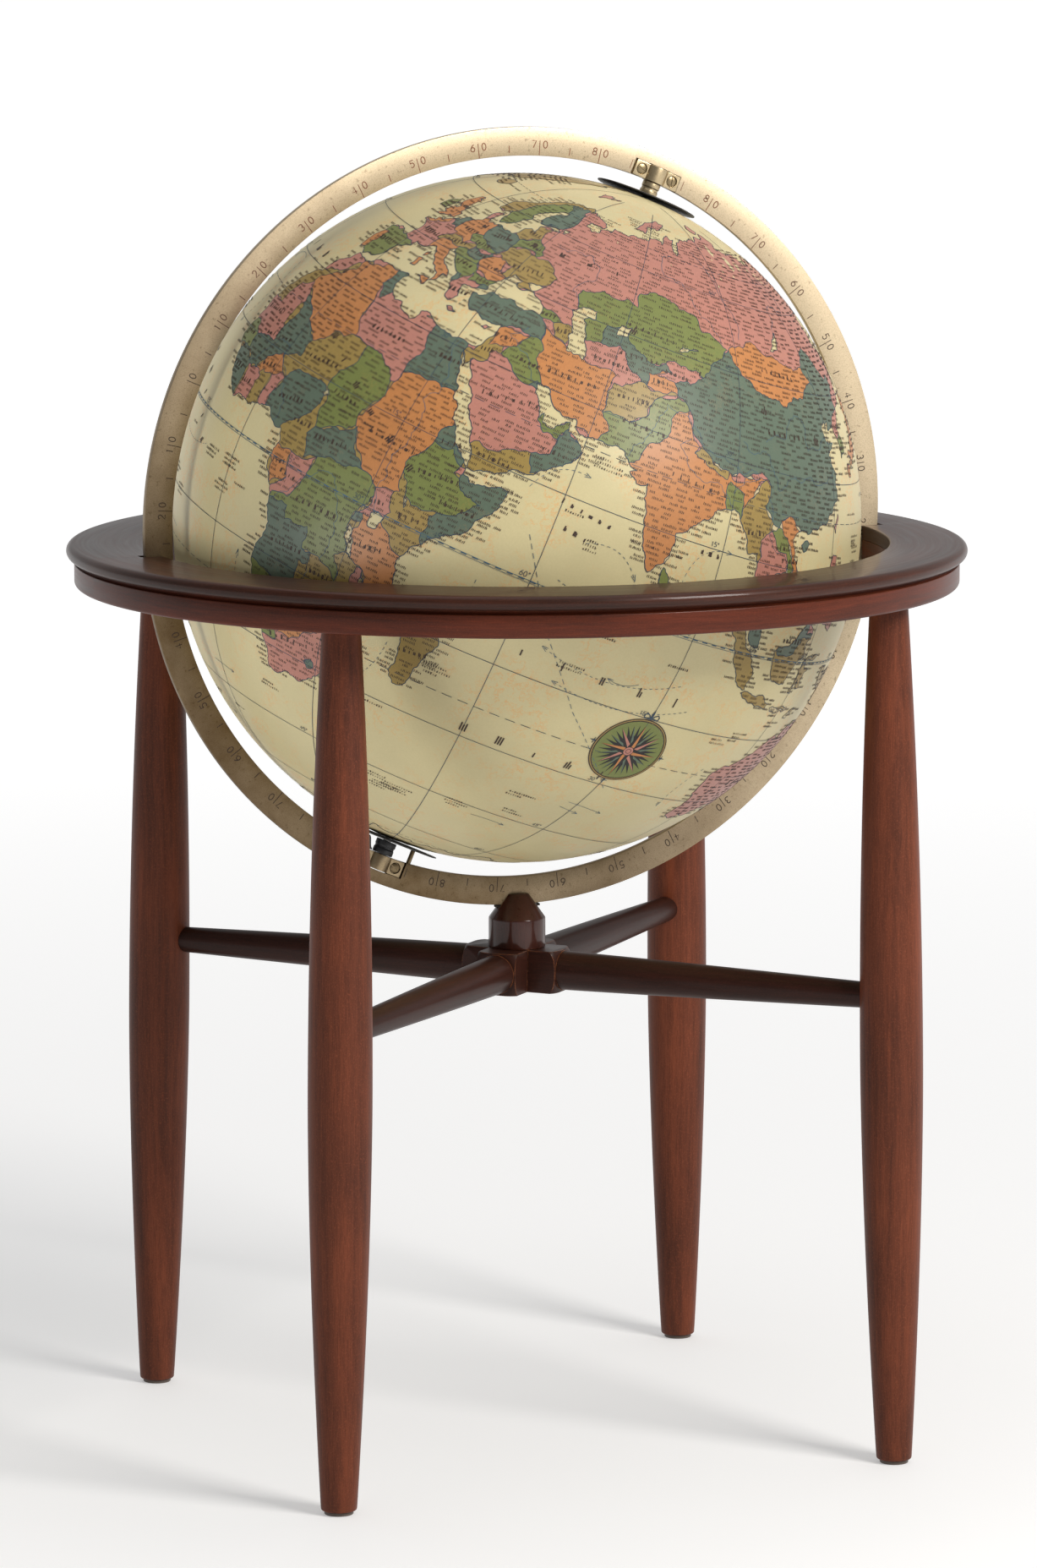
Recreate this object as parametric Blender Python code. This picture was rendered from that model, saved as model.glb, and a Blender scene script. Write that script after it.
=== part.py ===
"""Floor globe: a 20 inch ball in a full brass meridian ring, in a round horizon board on four turned legs.

Frame: metres, +Z up, origin on the floor at the centre of the stand. The meridian ring lies in the XZ plane,
its engraved face looks along -Y, and the legs stand on the diagonals. Run it in Blender 4.5.
"""

import math

import bmesh
import bpy
from mathutils import Matrix, Vector

GAP = 0.0003  # clearance between touching pieces
ROUND_STEPS = 72  # sides of the largest rings

# Ball and its polar axis
BALL_R = 0.254
SHELL_T = 0.0025
CENTRE_Z = 0.683
TILT = math.radians(23.5)
AXLE_R = 0.003
BORE_R = 0.0034
POLE_HOLE_R = 0.0078
DISC_R = 0.0385
DISC_T = 0.0015

# Meridian ring
RING_OUTER = 0.2885
RING_INNER = 0.2675
RING_T = 0.006

# Brackets that carry the polar axle
PLATE_HALF = 0.0185
PLATE_DEPTH = 0.0115
PLATE_T = 0.003
BOSS_R = 0.0085
BRACKET_SCREW_X = 0.0128
SCREW_HEAD_R = 0.0038
SCREW_SHANK_R = 0.0016

# Horizon board and apron
BOARD_TOP = 0.667
BOARD_T = 0.0105
BOARD_R = 0.3325
HOLE_R = 0.275
APRON_R = 0.3255
APRON_H = 0.020
COVE_R = 0.0045
FOOT_ROUND = 0.003
APRON_BOTTOM = BOARD_TOP - BOARD_T - APRON_H
NOTCH_HALF = 0.0048
NOTCH_END = RING_OUTER + 0.0035
LINER_T = 0.001

# Legs
LEG_TOP_CIRCLE = 0.2956
LEG_FOOT_CIRCLE = 0.305
LEG_TOP_D = 0.0277
LEG_MID_D = 0.0461
LEG_FOOT_D = 0.026
LEG_MID_AT = 0.53  # share of the leg's height, from its top
LEG_UPPER_CURVE = 2.0
LEG_LOWER_CURVE = 1.65
GLIDE_H = 0.0025
GLIDE_R = 0.0105
BOLT_R = 0.004
LEG_ANGLES = {"front_left": 225, "front_right": 315, "back_right": 45, "back_left": 135}
CORNERS = {"front_left": (-1, -1), "front_right": (1, -1), "back_right": (1, 1), "back_left": (-1, 1)}

# Stretchers and cradle
STRETCHER_Z = 0.347
BLOCK_HALF = 0.0158
BLOCK_LENGTH = 0.076
ARM_ROOT_R = 0.0146
ARM_TIP_R = 0.0096
TENON_DEPTH = 0.014
POST_R = 0.0212
POST_FLAT_R = 0.0085
POST_TOP = 0.4025
POST_CHAMFER_Z = 0.3845
SLOT_HALF = 0.0036
PAD_T = 0.0015
CRADLE_SCREW_R = 0.0022

WOOD = (0.155, 0.055, 0.032, 1.0)
BRASS = (0.72, 0.58, 0.36, 1.0)
STEEL = (0.55, 0.55, 0.56, 1.0)
BLACK = (0.02, 0.02, 0.02, 1.0)


def clear_scene():
    for obj in list(bpy.data.objects):
        bpy.data.objects.remove(obj)


def principled(name, colour, roughness, metallic=0.0):
    material = bpy.data.materials.new(name)
    material.use_nodes = True
    shader = material.node_tree.nodes["Principled BSDF"]
    shader.inputs["Base Color"].default_value = colour
    shader.inputs["Roughness"].default_value = roughness
    shader.inputs["Metallic"].default_value = metallic
    material.diffuse_color = colour
    return material


def empty(name, parent=None, location=(0, 0, 0), rotation=(0, 0, 0)):
    obj = bpy.data.objects.new(name, None)
    bpy.context.scene.collection.objects.link(obj)
    obj.parent = parent
    obj.location = location
    obj.rotation_euler = rotation
    return obj


def finish_mesh(name, bm, material=None, parent=None, location=(0, 0, 0), rotation=(0, 0, 0)):
    """Turns a bmesh into a placed object with outward faces, smooth across gentle edges."""
    bmesh.ops.recalc_face_normals(bm, faces=bm.faces)
    mesh = bpy.data.meshes.new(name)
    bm.to_mesh(mesh)
    bm.free()
    mesh.shade_smooth()
    mesh.set_sharp_from_angle(angle=math.radians(35))
    obj = bpy.data.objects.new(name, mesh)
    bpy.context.scene.collection.objects.link(obj)
    if material:
        mesh.materials.append(material)
    obj.parent = parent
    obj.location = location
    obj.rotation_euler = rotation
    return obj


def turned_bmesh(profile, segments):
    """Spins a profile of (radius, height) about Z. One with both ends on the axis gets flat end caps."""
    capped = profile[0][0] == 0 and profile[-1][0] == 0
    points = profile[1:-1] if capped else profile
    bm = bmesh.new()
    verts = [bm.verts.new((r, 0, z)) for r, z in points]
    pairs = list(zip(verts, verts[1:]))
    if not capped:
        pairs.append((verts[-1], verts[0]))
    edges = [bm.edges.new(pair) for pair in pairs]
    bmesh.ops.spin(bm, geom=verts + edges, cent=(0, 0, 0), axis=(0, 0, 1), dvec=(0, 0, 0),
                   angle=math.tau, steps=segments, use_merge=True)
    if capped:
        bmesh.ops.holes_fill(bm, edges=[edge for edge in bm.edges if edge.is_boundary])
    return bm


def turned(name, profile, segments, material=None, **place):
    return finish_mesh(name, turned_bmesh(profile, segments), material, **place)


def rod_profile(radius, low, high):
    return [(0, high), (radius, high), (radius, low), (0, low)]


def tube_profile(inner, outer, low, high):
    return [(inner, high), (outer, high), (outer, low), (inner, low)]


def box_bmesh(low, high):
    low, high = Vector(low), Vector(high)
    bm = bmesh.new()
    bmesh.ops.create_cube(bm, size=1.0)
    size = high - low
    matrix = Matrix.Translation((low + high) / 2) @ Matrix.Diagonal((*size, 1.0))
    bmesh.ops.transform(bm, matrix=matrix, verts=bm.verts)
    return bm


def box(name, low, high, material=None, **place):
    return finish_mesh(name, box_bmesh(low, high), material, **place)


def combine(target, cutter, operation="DIFFERENCE"):
    """Adds a Boolean by a cutter, which is itself left out of the part."""
    modifier = target.modifiers.new(operation.lower(), "BOOLEAN")
    modifier.operation = operation
    modifier.object = cutter
    modifier.solver = "EXACT"
    cutter.hide_render = True
    cutter.display_type = "WIRE"


def arc(centre, radius, start_deg, end_deg, steps):
    """Points of a round stretch of a profile, both ends included."""
    points = []
    for i in range(steps + 1):
        a = math.radians(start_deg + (end_deg - start_deg) * i / steps)
        points.append((centre[0] + radius * math.cos(a), centre[1] + radius * math.sin(a)))
    return points


# ---- horizon --------------------------------------------------------------------------------------------

def make_horizon(wood):
    """Board with a bullnose edge over an apron with a cove and a rounded foot, of four segments each."""
    nose = BOARD_T / 2
    board_bottom = BOARD_TOP - BOARD_T
    edge = arc((BOARD_R - nose, BOARD_TOP - nose), nose, 90, -90, 4)
    board_profile = [(HOLE_R, BOARD_TOP - 0.001), (HOLE_R + 0.001, BOARD_TOP), *edge, (HOLE_R, board_bottom)]
    top = board_bottom - GAP
    cove = arc((APRON_R, top), COVE_R, 180, 270, 2)
    foot = arc((APRON_R - FOOT_ROUND, APRON_BOTTOM + FOOT_ROUND), FOOT_ROUND, 0, -90, 2)
    apron_profile = [(HOLE_R, top), *cove, *foot, (HOLE_R, APRON_BOTTOM)]
    notches = []
    for side in (1, -1):
        low = (side * (HOLE_R - 0.01), -NOTCH_HALF, APRON_BOTTOM - 0.01)
        high = (side * NOTCH_END, NOTCH_HALF, BOARD_TOP + 0.01)
        notches.append(box(f"notch_cutter_{side}", *sorted_corners(low, high)))
    segments = {}
    for corner, (side_x, side_y) in CORNERS.items():
        inside = (side_x * GAP / 2, side_y * GAP / 2, APRON_BOTTOM - 0.1)
        outside = (side_x * (BOARD_R + 0.1), side_y * (BOARD_R + 0.1), BOARD_TOP + 0.1)
        quarter = box(f"quarter_cutter_{corner}", *sorted_corners(inside, outside))
        board = turned(f"horizon_board_{corner}", board_profile, ROUND_STEPS, wood)
        apron = turned(f"horizon_apron_{corner}", apron_profile, ROUND_STEPS, wood)
        notch = notches[0] if side_x > 0 else notches[1]
        for piece in (board, apron):
            combine(piece, quarter, "INTERSECT")
            combine(piece, notch)
        segments[corner] = (board, apron)
    return segments


def sorted_corners(a, b):
    return tuple(map(min, a, b)), tuple(map(max, a, b))


def corner_at(angle):
    """Name of the quarter of the stand that a direction from its centre points into."""
    side = (math.copysign(1, math.cos(angle)), math.copysign(1, math.sin(angle)))
    return next(corner for corner, signs in CORNERS.items() if signs == side)


def make_notch_liners(felt):
    """U-shaped felt channels that line the notches."""
    for name, side in (("notch_liner_right", 1), ("notch_liner_left", -1)):
        outer = NOTCH_HALF - GAP
        wall = outer - LINER_T
        end = NOTCH_END - GAP
        start = HOLE_R + 0.0005
        outline = [(start, -outer), (end, -outer), (end, outer), (start, outer),
                   (start, wall), (end - LINER_T, wall), (end - LINER_T, -wall), (start, -wall)]
        bm = bmesh.new()
        face = bm.faces.new([bm.verts.new((side * x, y, APRON_BOTTOM + 0.001)) for x, y in outline])
        raised = bmesh.ops.extrude_face_region(bm, geom=[face])["geom"]
        moved = [v for v in raised if isinstance(v, bmesh.types.BMVert)]
        bmesh.ops.translate(bm, verts=moved, vec=(0, 0, BOARD_TOP - APRON_BOTTOM - 0.002))
        finish_mesh(name, bm, felt)


def make_horizon_screws(segments, steel):
    """Countersunk wood screws that hold the board down on the apron."""
    circle = (HOLE_R + APRON_R) / 2
    shank, head, tip = 0.0018, 0.0038, BOARD_TOP - 0.004
    for i in range(8):
        a = math.radians(22.5 + 45 * i)
        place = {"location": (circle * math.cos(a), circle * math.sin(a), 0)}
        low = APRON_BOTTOM + 0.0008
        profile = [(0, tip), (shank, tip - 0.004), (shank, low + 0.003), (head, low + 0.0006), (head, low),
                   (0, low)]
        turned(f"horizon_screw_{i + 1}", profile, 8, steel, **place)
        clear = GAP + 0.0001
        hole = [(0, tip + clear), (shank + clear, tip + clear), (shank + clear, low + 0.0036),
                (head + clear, low + 0.0010), (head + clear, APRON_BOTTOM - 0.002), (0, APRON_BOTTOM - 0.002)]
        cutter = turned(f"horizon_screw_cutter_{i + 1}", hole, 8, **place)
        for piece in segments[corner_at(a)]:
            combine(piece, cutter)


# ---- legs -----------------------------------------------------------------------------------------------

def leg_radius(share):
    """Radius of the leg at a share of its height, counted down from its top."""
    if share < LEG_MID_AT:
        u = (LEG_MID_AT - share) / LEG_MID_AT
        return (LEG_MID_D - (LEG_MID_D - LEG_TOP_D) * u ** LEG_UPPER_CURVE) / 2
    u = (share - LEG_MID_AT) / (1 - LEG_MID_AT)
    return (LEG_MID_D - (LEG_MID_D - LEG_FOOT_D) * u ** LEG_LOWER_CURVE) / 2


def splay_matrix():
    """Leans a leg outwards while its ends stay level: x grows as z falls."""
    top = APRON_BOTTOM - GAP
    slope = (LEG_FOOT_CIRCLE - LEG_TOP_CIRCLE) / (top - GLIDE_H)
    matrix = Matrix.Identity(4)
    matrix[0][2] = -slope
    matrix[0][3] = LEG_TOP_CIRCLE + slope * top
    return matrix


def leg_part(name, profile, segments, angle, material=None):
    """A piece turned about the leaning centre line of the leg at that angle."""
    bm = turned_bmesh(profile, segments)
    bmesh.ops.transform(bm, matrix=splay_matrix(), verts=bm.verts)
    return finish_mesh(name, bm, material, rotation=(0, 0, angle))


def make_legs(segments, wood, steel, nylon):
    top = APRON_BOTTOM - GAP
    bottom = GLIDE_H + GAP
    rows = 10
    outline = [(leg_radius(i / rows), top + (bottom - top) * i / rows) for i in range(rows + 1)]
    bolt_low, bolt_high = top - 0.030, APRON_BOTTOM + 0.013
    for corner, degrees in LEG_ANGLES.items():
        angle = math.radians(degrees)
        leg = leg_part(f"leg_{corner}", [(0, top), *outline, (0, bottom)], 16, angle, wood)
        leg_part(f"leg_bolt_{corner}", rod_profile(BOLT_R, bolt_low, bolt_high), 12, angle, steel)
        leg_part(f"foot_glide_{corner}", rod_profile(GLIDE_R, 0, GLIDE_H), 20, angle, nylon)
        hole = rod_profile(BOLT_R + 0.0005, bolt_low - GAP, bolt_high + GAP)
        bolt_hole = leg_part(f"bolt_cutter_{corner}", hole, 12, angle)
        combine(leg, bolt_hole)
        combine(segments[corner][1], bolt_hole)
        depth = arm_end() + GAP
        mortise = turned(f"mortise_cutter_{corner}", rod_profile(ARM_TIP_R + 0.0005, depth - 0.08, depth), 20,
                         location=(0, 0, STRETCHER_Z), rotation=(0, math.radians(90), angle))
        combine(leg, mortise)


# ---- stretchers and cradle ------------------------------------------------------------------------------

def arm_end():
    """How far a stretcher's arm reaches from the centre line of the stand, tenon included."""
    share = (APRON_BOTTOM - STRETCHER_Z) / APRON_BOTTOM
    leg_centre = LEG_TOP_CIRCLE + (LEG_FOOT_CIRCLE - LEG_TOP_CIRCLE) * share
    return leg_centre - leg_radius(share) + TENON_DEPTH


def arm_profile():
    """One stretcher end to end about its own axis: tenon, tapered arm, root, and the same mirrored."""
    end = arm_end()
    shoulder = end - TENON_DEPTH - 0.004
    root = BLOCK_LENGTH / 2 - 0.006
    steps = 4
    half = [(0, end), (ARM_TIP_R - 0.0003, end), (ARM_TIP_R, end - 0.001)]
    for i in range(steps + 1):
        z = shoulder + (root - shoulder) * i / steps
        u = (z - root) / (shoulder - root)
        half.append((ARM_ROOT_R - (ARM_ROOT_R - ARM_TIP_R) * u ** 1.2, z))
    return half + [(r, -z) for r, z in reversed(half)]


def make_stretcher(name, degrees, lap_top, wood):
    """Turned stretcher with a square centre whose corners are turned down at both ends.

    lap_top says whether its upper half is cut away for the other stretcher.
    """
    rotation = (0, math.radians(90), math.radians(degrees))
    place = {"location": (0, 0, STRETCHER_Z), "rotation": rotation}
    half = BLOCK_LENGTH / 2
    block = box(name, (-BLOCK_HALF, -BLOCK_HALF, -half), (BLOCK_HALF, BLOCK_HALF, half), wood, **place)
    corner = BLOCK_HALF * math.sqrt(2) + 0.0005
    drop = corner - ARM_ROOT_R
    shoulder = arc((ARM_ROOT_R, half - drop), drop, 90, 0, 3)
    envelope = [(0, half), *shoulder, *[(r, -z) for r, z in reversed(shoulder)], (0, -half)]
    combine(block, turned(f"{name}_envelope", envelope, 16, **place), "INTERSECT")
    combine(block, turned(f"{name}_arms", arm_profile(), 16, **place), "UNION")
    side = BLOCK_HALF + GAP
    up = 1 if lap_top else -1
    low, high = sorted_corners((-side, -side, -up * GAP / 2), (side, side, up * BLOCK_HALF * 2))
    combine(block, box(f"{name}_lap_cutter", low, high, location=(0, 0, STRETCHER_Z),
                       rotation=(0, 0, math.radians(degrees))))
    return block


def make_cradle(stretchers, wood, steel, felt):
    """Post on the crossing, slotted for the meridian ring, with a pad in the slot and a screw from below."""
    base = STRETCHER_Z + BLOCK_HALF + GAP
    profile = [(0, POST_TOP), (POST_FLAT_R, POST_TOP), (POST_R, POST_CHAMFER_Z), (POST_R, base + 0.001),
               (POST_R - 0.001, base), (0, base)]
    post = turned("cradle_post", profile, 24, wood)
    floor = CENTRE_Z - RING_OUTER - GAP
    slot_floor = floor - PAD_T - GAP
    combine(post, box("slot_cutter", (-0.03, -SLOT_HALF, slot_floor), (0.03, SLOT_HALF, POST_TOP + 0.01)))
    pad_half = SLOT_HALF - GAP
    box("cradle_pad", (-0.017, -pad_half, floor - PAD_T), (0.017, pad_half, floor), felt)
    low = STRETCHER_Z - BLOCK_HALF + 0.0008
    tip = slot_floor - 0.006
    profile = [(0, tip), (CRADLE_SCREW_R, tip - 0.004), (CRADLE_SCREW_R, low + 0.003),
               (0.0048, low + 0.0007), (0.0048, low), (0, low)]
    turned("cradle_screw", profile, 16, steel)
    wide = CRADLE_SCREW_R + 0.0004
    hole = [(0, tip + GAP), (wide, tip + GAP), (wide, low + 0.0034), (0.0052, low + 0.0011),
            (0.0052, low - 0.002), (0, low - 0.002)]
    cutter = turned("cradle_screw_cutter", hole, 16)
    for piece in (post, *stretchers):
        combine(piece, cutter)


# ---- meridian -------------------------------------------------------------------------------------------

FACING_FRONT = (math.radians(90), 0, 0)  # turns a local +Z axis to look along -Y


def make_meridian_ring(pivot, poles, brass):
    """Flat ring in the XZ plane, with a pocket for each bracket on its front face."""
    half = RING_T / 2
    profile = tube_profile(RING_INNER, RING_OUTER, -half, half)
    ring = turned("meridian_ring", profile, ROUND_STEPS, brass, parent=pivot, rotation=FACING_FRONT)
    top = RING_INNER + PLATE_DEPTH + GAP
    below = RING_INNER - 0.01
    for pole, frame in poles.items():
        low = (-PLATE_HALF - 0.0016, -0.01, below)
        combine(ring, box(f"{pole}_pocket_cutter", low, (PLATE_HALF + GAP, 0, top), parent=frame))
        wide = BOSS_R + 0.0004
        low, high = (-wide, -0.02, below - 0.01), (wide, 0.02, top + GAP)
        combine(ring, box(f"{pole}_boss_cutter", low, high, parent=frame))
    return ring


def make_bracket(pole, frame, ring, brass, steel):
    """Plate let into the ring, with a round boss that holds the end of the axle, and its two screws."""
    low_z, high_z = RING_INNER - 0.0003, RING_INNER + PLATE_DEPTH
    plate = box(f"{pole}_bracket", (-PLATE_HALF, -GAP - PLATE_T, low_z), (PLATE_HALF, -GAP, high_z), brass,
                parent=frame)
    boss = turned(f"{pole}_boss", rod_profile(BOSS_R, low_z, high_z), 24, parent=frame)
    combine(plate, boss, "UNION")
    combine(plate, turned(f"{pole}_axle_cutter", rod_profile(BORE_R, 0.26, high_z - 0.002), 16, parent=frame))
    z = RING_INNER + PLATE_DEPTH / 2
    face = GAP + PLATE_T
    for side, turn in (("left", 20), ("right", 82)):
        x = -BRACKET_SCREW_X if side == "left" else BRACKET_SCREW_X
        place = {"parent": frame, "location": (x, 0, z), "rotation": FACING_FRONT}
        crown, seat = face + 0.0006, face - 0.0015
        profile = [(0, crown), (SCREW_HEAD_R - 0.0008, crown), (SCREW_HEAD_R, crown - 0.0005),
                   (SCREW_HEAD_R, seat), (SCREW_SHANK_R, seat), (SCREW_SHANK_R, -0.0022), (0, -0.0022)]
        screw = turned(f"{pole}_bracket_screw_{side}", profile, 16, steel, **place)
        slot_low, slot_high = (-0.006, -0.00045, crown - 0.0009), (0.006, 0.00045, crown + 0.001)
        combine(screw, box(f"{pole}_driver_cutter_{side}", slot_low, slot_high, parent=frame,
                           location=(x, 0, z), rotation=(math.radians(90), math.radians(turn), 0)))
        wide, deep = SCREW_HEAD_R + 0.0004, SCREW_SHANK_R + 0.0004
        hole = [(0, 0.01), (wide, 0.01), (wide, seat - GAP), (deep, seat - GAP), (deep, -0.01), (0, -0.01)]
        cutter = turned(f"{pole}_screw_cutter_{side}", hole, 16, **place)
        combine(plate, cutter)
        combine(ring, cutter)


def make_axle(polar, steel, brass, black):
    """Rod through the ball, and the two collars that keep the ball centred in the ring."""
    end = RING_INNER + PLATE_DEPTH - 0.0025
    turned("polar_axle", rod_profile(AXLE_R, -end, end), 16, steel, parent=polar)
    low, high = BALL_R + 0.0028, RING_INNER - 0.0006
    turned("north_collar", tube_profile(BORE_R, 0.0068, low, high), 20, brass, parent=polar)
    turned("south_collar", tube_profile(BORE_R, 0.0078, -high, -low), 20, black, parent=polar)


def make_brake(polar, ring, bronze, black):
    """Pin and V-shaped leaf spring that bear on the friction disc at the south pole."""
    x, radius = 0.0222, 0.0017
    low = BALL_R + 0.0006 + DISC_T + GAP
    pin_end = RING_INNER + 0.0045
    turned("brake_pin", rod_profile(radius, -pin_end, -low), 12, bronze, parent=polar, location=(x, 0, 0))
    cutter = turned("brake_pin_cutter", rod_profile(radius + 0.0005, -pin_end - GAP, -low), 12, parent=polar,
                    location=(x, 0, 0))
    combine(ring, cutter)
    thick = 0.0006
    near, far = low, RING_INNER - 0.0016
    spine = [(-0.0095, far), (-0.0150, near + thick), (-0.0200, far - 0.001), (-0.0255, near + thick)]
    bm = bmesh.new()
    outline = [(px, -pz) for px, pz in spine] + [(px, -pz - thick * 1.6) for px, pz in reversed(spine)]
    face = bm.faces.new([bm.verts.new((px, -0.0022, pz)) for px, pz in outline])
    raised = bmesh.ops.extrude_face_region(bm, geom=[face])["geom"]
    moved = [v for v in raised if isinstance(v, bmesh.types.BMVert)]
    bmesh.ops.translate(bm, verts=moved, vec=(0, 0.0044, 0))
    finish_mesh("leaf_spring", bm, black, parent=polar)


# ---- ball -----------------------------------------------------------------------------------------------

def make_ball(polar, paper, nylon, board, black):
    """Two thin hemispheres joined by a hoop, turning on flanged bushes at the poles."""
    inner = BALL_R - SHELL_T
    rows, sides = 8, 36
    for name, sign in (("north_hemisphere", 1), ("south_hemisphere", -1)):
        outside, inside = [], []
        for i in range(rows + 1):
            lift = GAP / 2 if i == 0 else 0
            top_out = math.acos(POLE_HOLE_R / BALL_R)
            top_in = math.acos(POLE_HOLE_R / inner)
            out, far_in = top_out * i / rows, top_in * i / rows
            outside.append((BALL_R * math.cos(out), BALL_R * math.sin(out) + lift))
            inside.append((inner * math.cos(far_in), inner * math.sin(far_in) + lift))
        profile = [(r, sign * z) for r, z in outside + inside[::-1]]
        turned(name, profile, sides, paper, parent=polar)
    hoop = inner * math.cos(math.radians(90 / rows) / 2) - 0.0002
    turned("equator_hoop", tube_profile(hoop - 0.0025, hoop, -0.008, 0.008), sides, board, parent=polar)
    for name, sign in (("north_pole_bush", 1), ("south_pole_bush", -1)):
        neck, flange = POLE_HOLE_R - 0.0005, 0.022
        seat = math.sqrt(inner ** 2 - flange ** 2) - 0.0013
        profile = [(BORE_R, BALL_R), (neck, BALL_R), (neck, seat), (flange, seat), (flange, seat - 0.003),
                   (0.009, seat - 0.004), (0.009, seat - 0.016), (BORE_R, seat - 0.016)]
        turned(name, [(r, sign * z) for r, z in profile], 20, nylon, parent=polar)
    near, far = BALL_R + 0.0006, BALL_R + 0.0006 + DISC_T
    turned("hour_dial", tube_profile(BORE_R, DISC_R, near, far), sides, black, parent=polar)
    turned("friction_disc", tube_profile(BORE_R, DISC_R, -far, -near), sides, black, parent=polar)


def main():
    clear_scene()
    wood = principled("mahogany_lacquer", WOOD, 0.28)
    brass = principled("satin_brass", BRASS, 0.35, 1.0)
    screw_brass = principled("old_brass", (0.42, 0.31, 0.16, 1.0), 0.4, 1.0)
    steel = principled("zinc_steel", STEEL, 0.35, 1.0)
    black = principled("black_plastic", BLACK, 0.45)
    felt = principled("dark_felt", (0.03, 0.025, 0.02, 1.0), 0.95)
    nylon = principled("nylon", (0.12, 0.09, 0.07, 1.0), 0.5)
    paper = principled("printed_globe", (0.84, 0.77, 0.58, 1.0), 0.45)
    board_card = principled("grey_card", (0.35, 0.31, 0.26, 1.0), 0.8)

    segments = make_horizon(wood)
    make_notch_liners(felt)
    make_horizon_screws(segments, steel)
    make_legs(segments, wood, steel, nylon)
    stretchers = [make_stretcher("stretcher_rising", 45, False, wood),
                  make_stretcher("stretcher_falling", -45, True, wood)]
    make_cradle(stretchers, wood, steel, felt)

    pivot = empty("meridian_pivot", location=(0, 0, CENTRE_Z))
    polar = empty("polar_axis", parent=pivot, rotation=(0, TILT, 0))
    poles = {"north": empty("north_end", parent=polar),
             "south": empty("south_end", parent=polar, rotation=(0, math.pi, 0))}
    ring = make_meridian_ring(pivot, poles, brass)
    for pole, frame in poles.items():
        make_bracket(pole, frame, ring, brass, screw_brass)
    make_axle(polar, steel, brass, black)
    make_brake(polar, ring, screw_brass, black)
    make_ball(polar, paper, nylon, board_card, black)


main()
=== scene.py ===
"""Looks of the floor globe: turned and lacquered stand, brass meridian ring, and a ball with a printed map.

Everything is in metres in the row frame: +Z up, the ring in the XZ plane with its engraved face towards -Y.
"""

import math
import random
import re

import bmesh
import bpy
import numpy as np
from mathutils import Matrix, Vector
from mathutils.bvhtree import BVHTree
from mathutils.geometry import delaunay_2d_cdt


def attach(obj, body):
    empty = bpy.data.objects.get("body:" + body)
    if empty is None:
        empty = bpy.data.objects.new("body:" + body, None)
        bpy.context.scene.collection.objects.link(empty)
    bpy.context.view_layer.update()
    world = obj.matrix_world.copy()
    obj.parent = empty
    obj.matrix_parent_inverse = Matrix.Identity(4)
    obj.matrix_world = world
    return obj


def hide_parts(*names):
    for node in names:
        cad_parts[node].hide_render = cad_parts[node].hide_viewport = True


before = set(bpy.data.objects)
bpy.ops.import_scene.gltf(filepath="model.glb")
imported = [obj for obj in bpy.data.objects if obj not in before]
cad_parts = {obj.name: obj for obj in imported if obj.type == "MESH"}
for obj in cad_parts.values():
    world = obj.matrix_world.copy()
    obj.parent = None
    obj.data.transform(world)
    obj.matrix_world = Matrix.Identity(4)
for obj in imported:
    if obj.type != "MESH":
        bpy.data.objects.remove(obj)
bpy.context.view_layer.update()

# Sizes that the CAD part has too. Only the apron's radius and cove differ: they follow the photo's overhang.
BALL_R, CENTRE_Z, TILT = 0.254, 0.683, math.radians(23.5)
DISC_R = 0.0385
RING_OUTER, RING_INNER, RING_T = 0.2885, 0.2675, 0.006
PLATE_HALF, PLATE_DEPTH, PLATE_T, BOSS_R, BRACKET_SCREW_X = 0.0185, 0.0115, 0.003, 0.0085, 0.0128
BOARD_TOP, BOARD_T, BOARD_R, HOLE_R = 0.667, 0.0105, 0.3325, 0.275
APRON_R, APRON_BOTTOM, COVE_R = 0.3267, 0.6365, 0.0028
NOTCH_HALF, NOTCH_END = 0.0048, RING_OUTER + 0.0035
LEG_TOP_CIRCLE, LEG_FOOT_CIRCLE = 0.2956, 0.305
LEG_TOP_D, LEG_MID_D, LEG_FOOT_D, LEG_MID_AT = 0.0277, 0.0461, 0.026, 0.53
GLIDE_R, GLIDE_H = 0.0105, 0.0025
CORNERS = {"front_left": 225, "front_right": 315, "back_right": 45, "back_left": 135}
STRETCHER_Z, BLOCK_HALF, BLOCK_LENGTH, ARM_ROOT_R, ARM_TIP_R = 0.347, 0.0158, 0.076, 0.0146, 0.0096
POST_R, POST_FLAT_R, POST_TOP, POST_CHAMFER_Z, SLOT_HALF = 0.0212, 0.0085, 0.4025, 0.3845, 0.0036
PIN_X, PIN_R, SPRING_T, SPRING_HALF = 0.0222, 0.0017, 0.0006, 0.0022
SHELL_T, POLE_HOLE_R, DISC_BORE_R = 0.0025, 0.0078, 0.0034
GAP = 0.0003

CAMERA_PLACE, CAMERA_PITCH, CAMERA_YAW, CAMERA_LENS = (-1.8305, -4.9341, 1.2972), 81.222, -20.367, 164.66
SHARP_ANGLE = 32  # degrees between faces from which an edge stays sharp


def turn(degrees, axis):
    return Matrix.Rotation(math.radians(degrees), 4, axis)


def shift(x, y, z):
    return Matrix.Translation((x, y, z))


POLAR = shift(0, 0, CENTRE_Z) @ Matrix.Rotation(TILT, 4, "Y")
POLE_FRAMES = {"north": POLAR, "south": POLAR @ turn(180, "Y")}
FACING_FRONT = turn(90, "X")


def new_object(name, data):
    obj = bpy.data.objects.new(name, data)
    bpy.context.scene.collection.objects.link(obj)
    return obj


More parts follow.
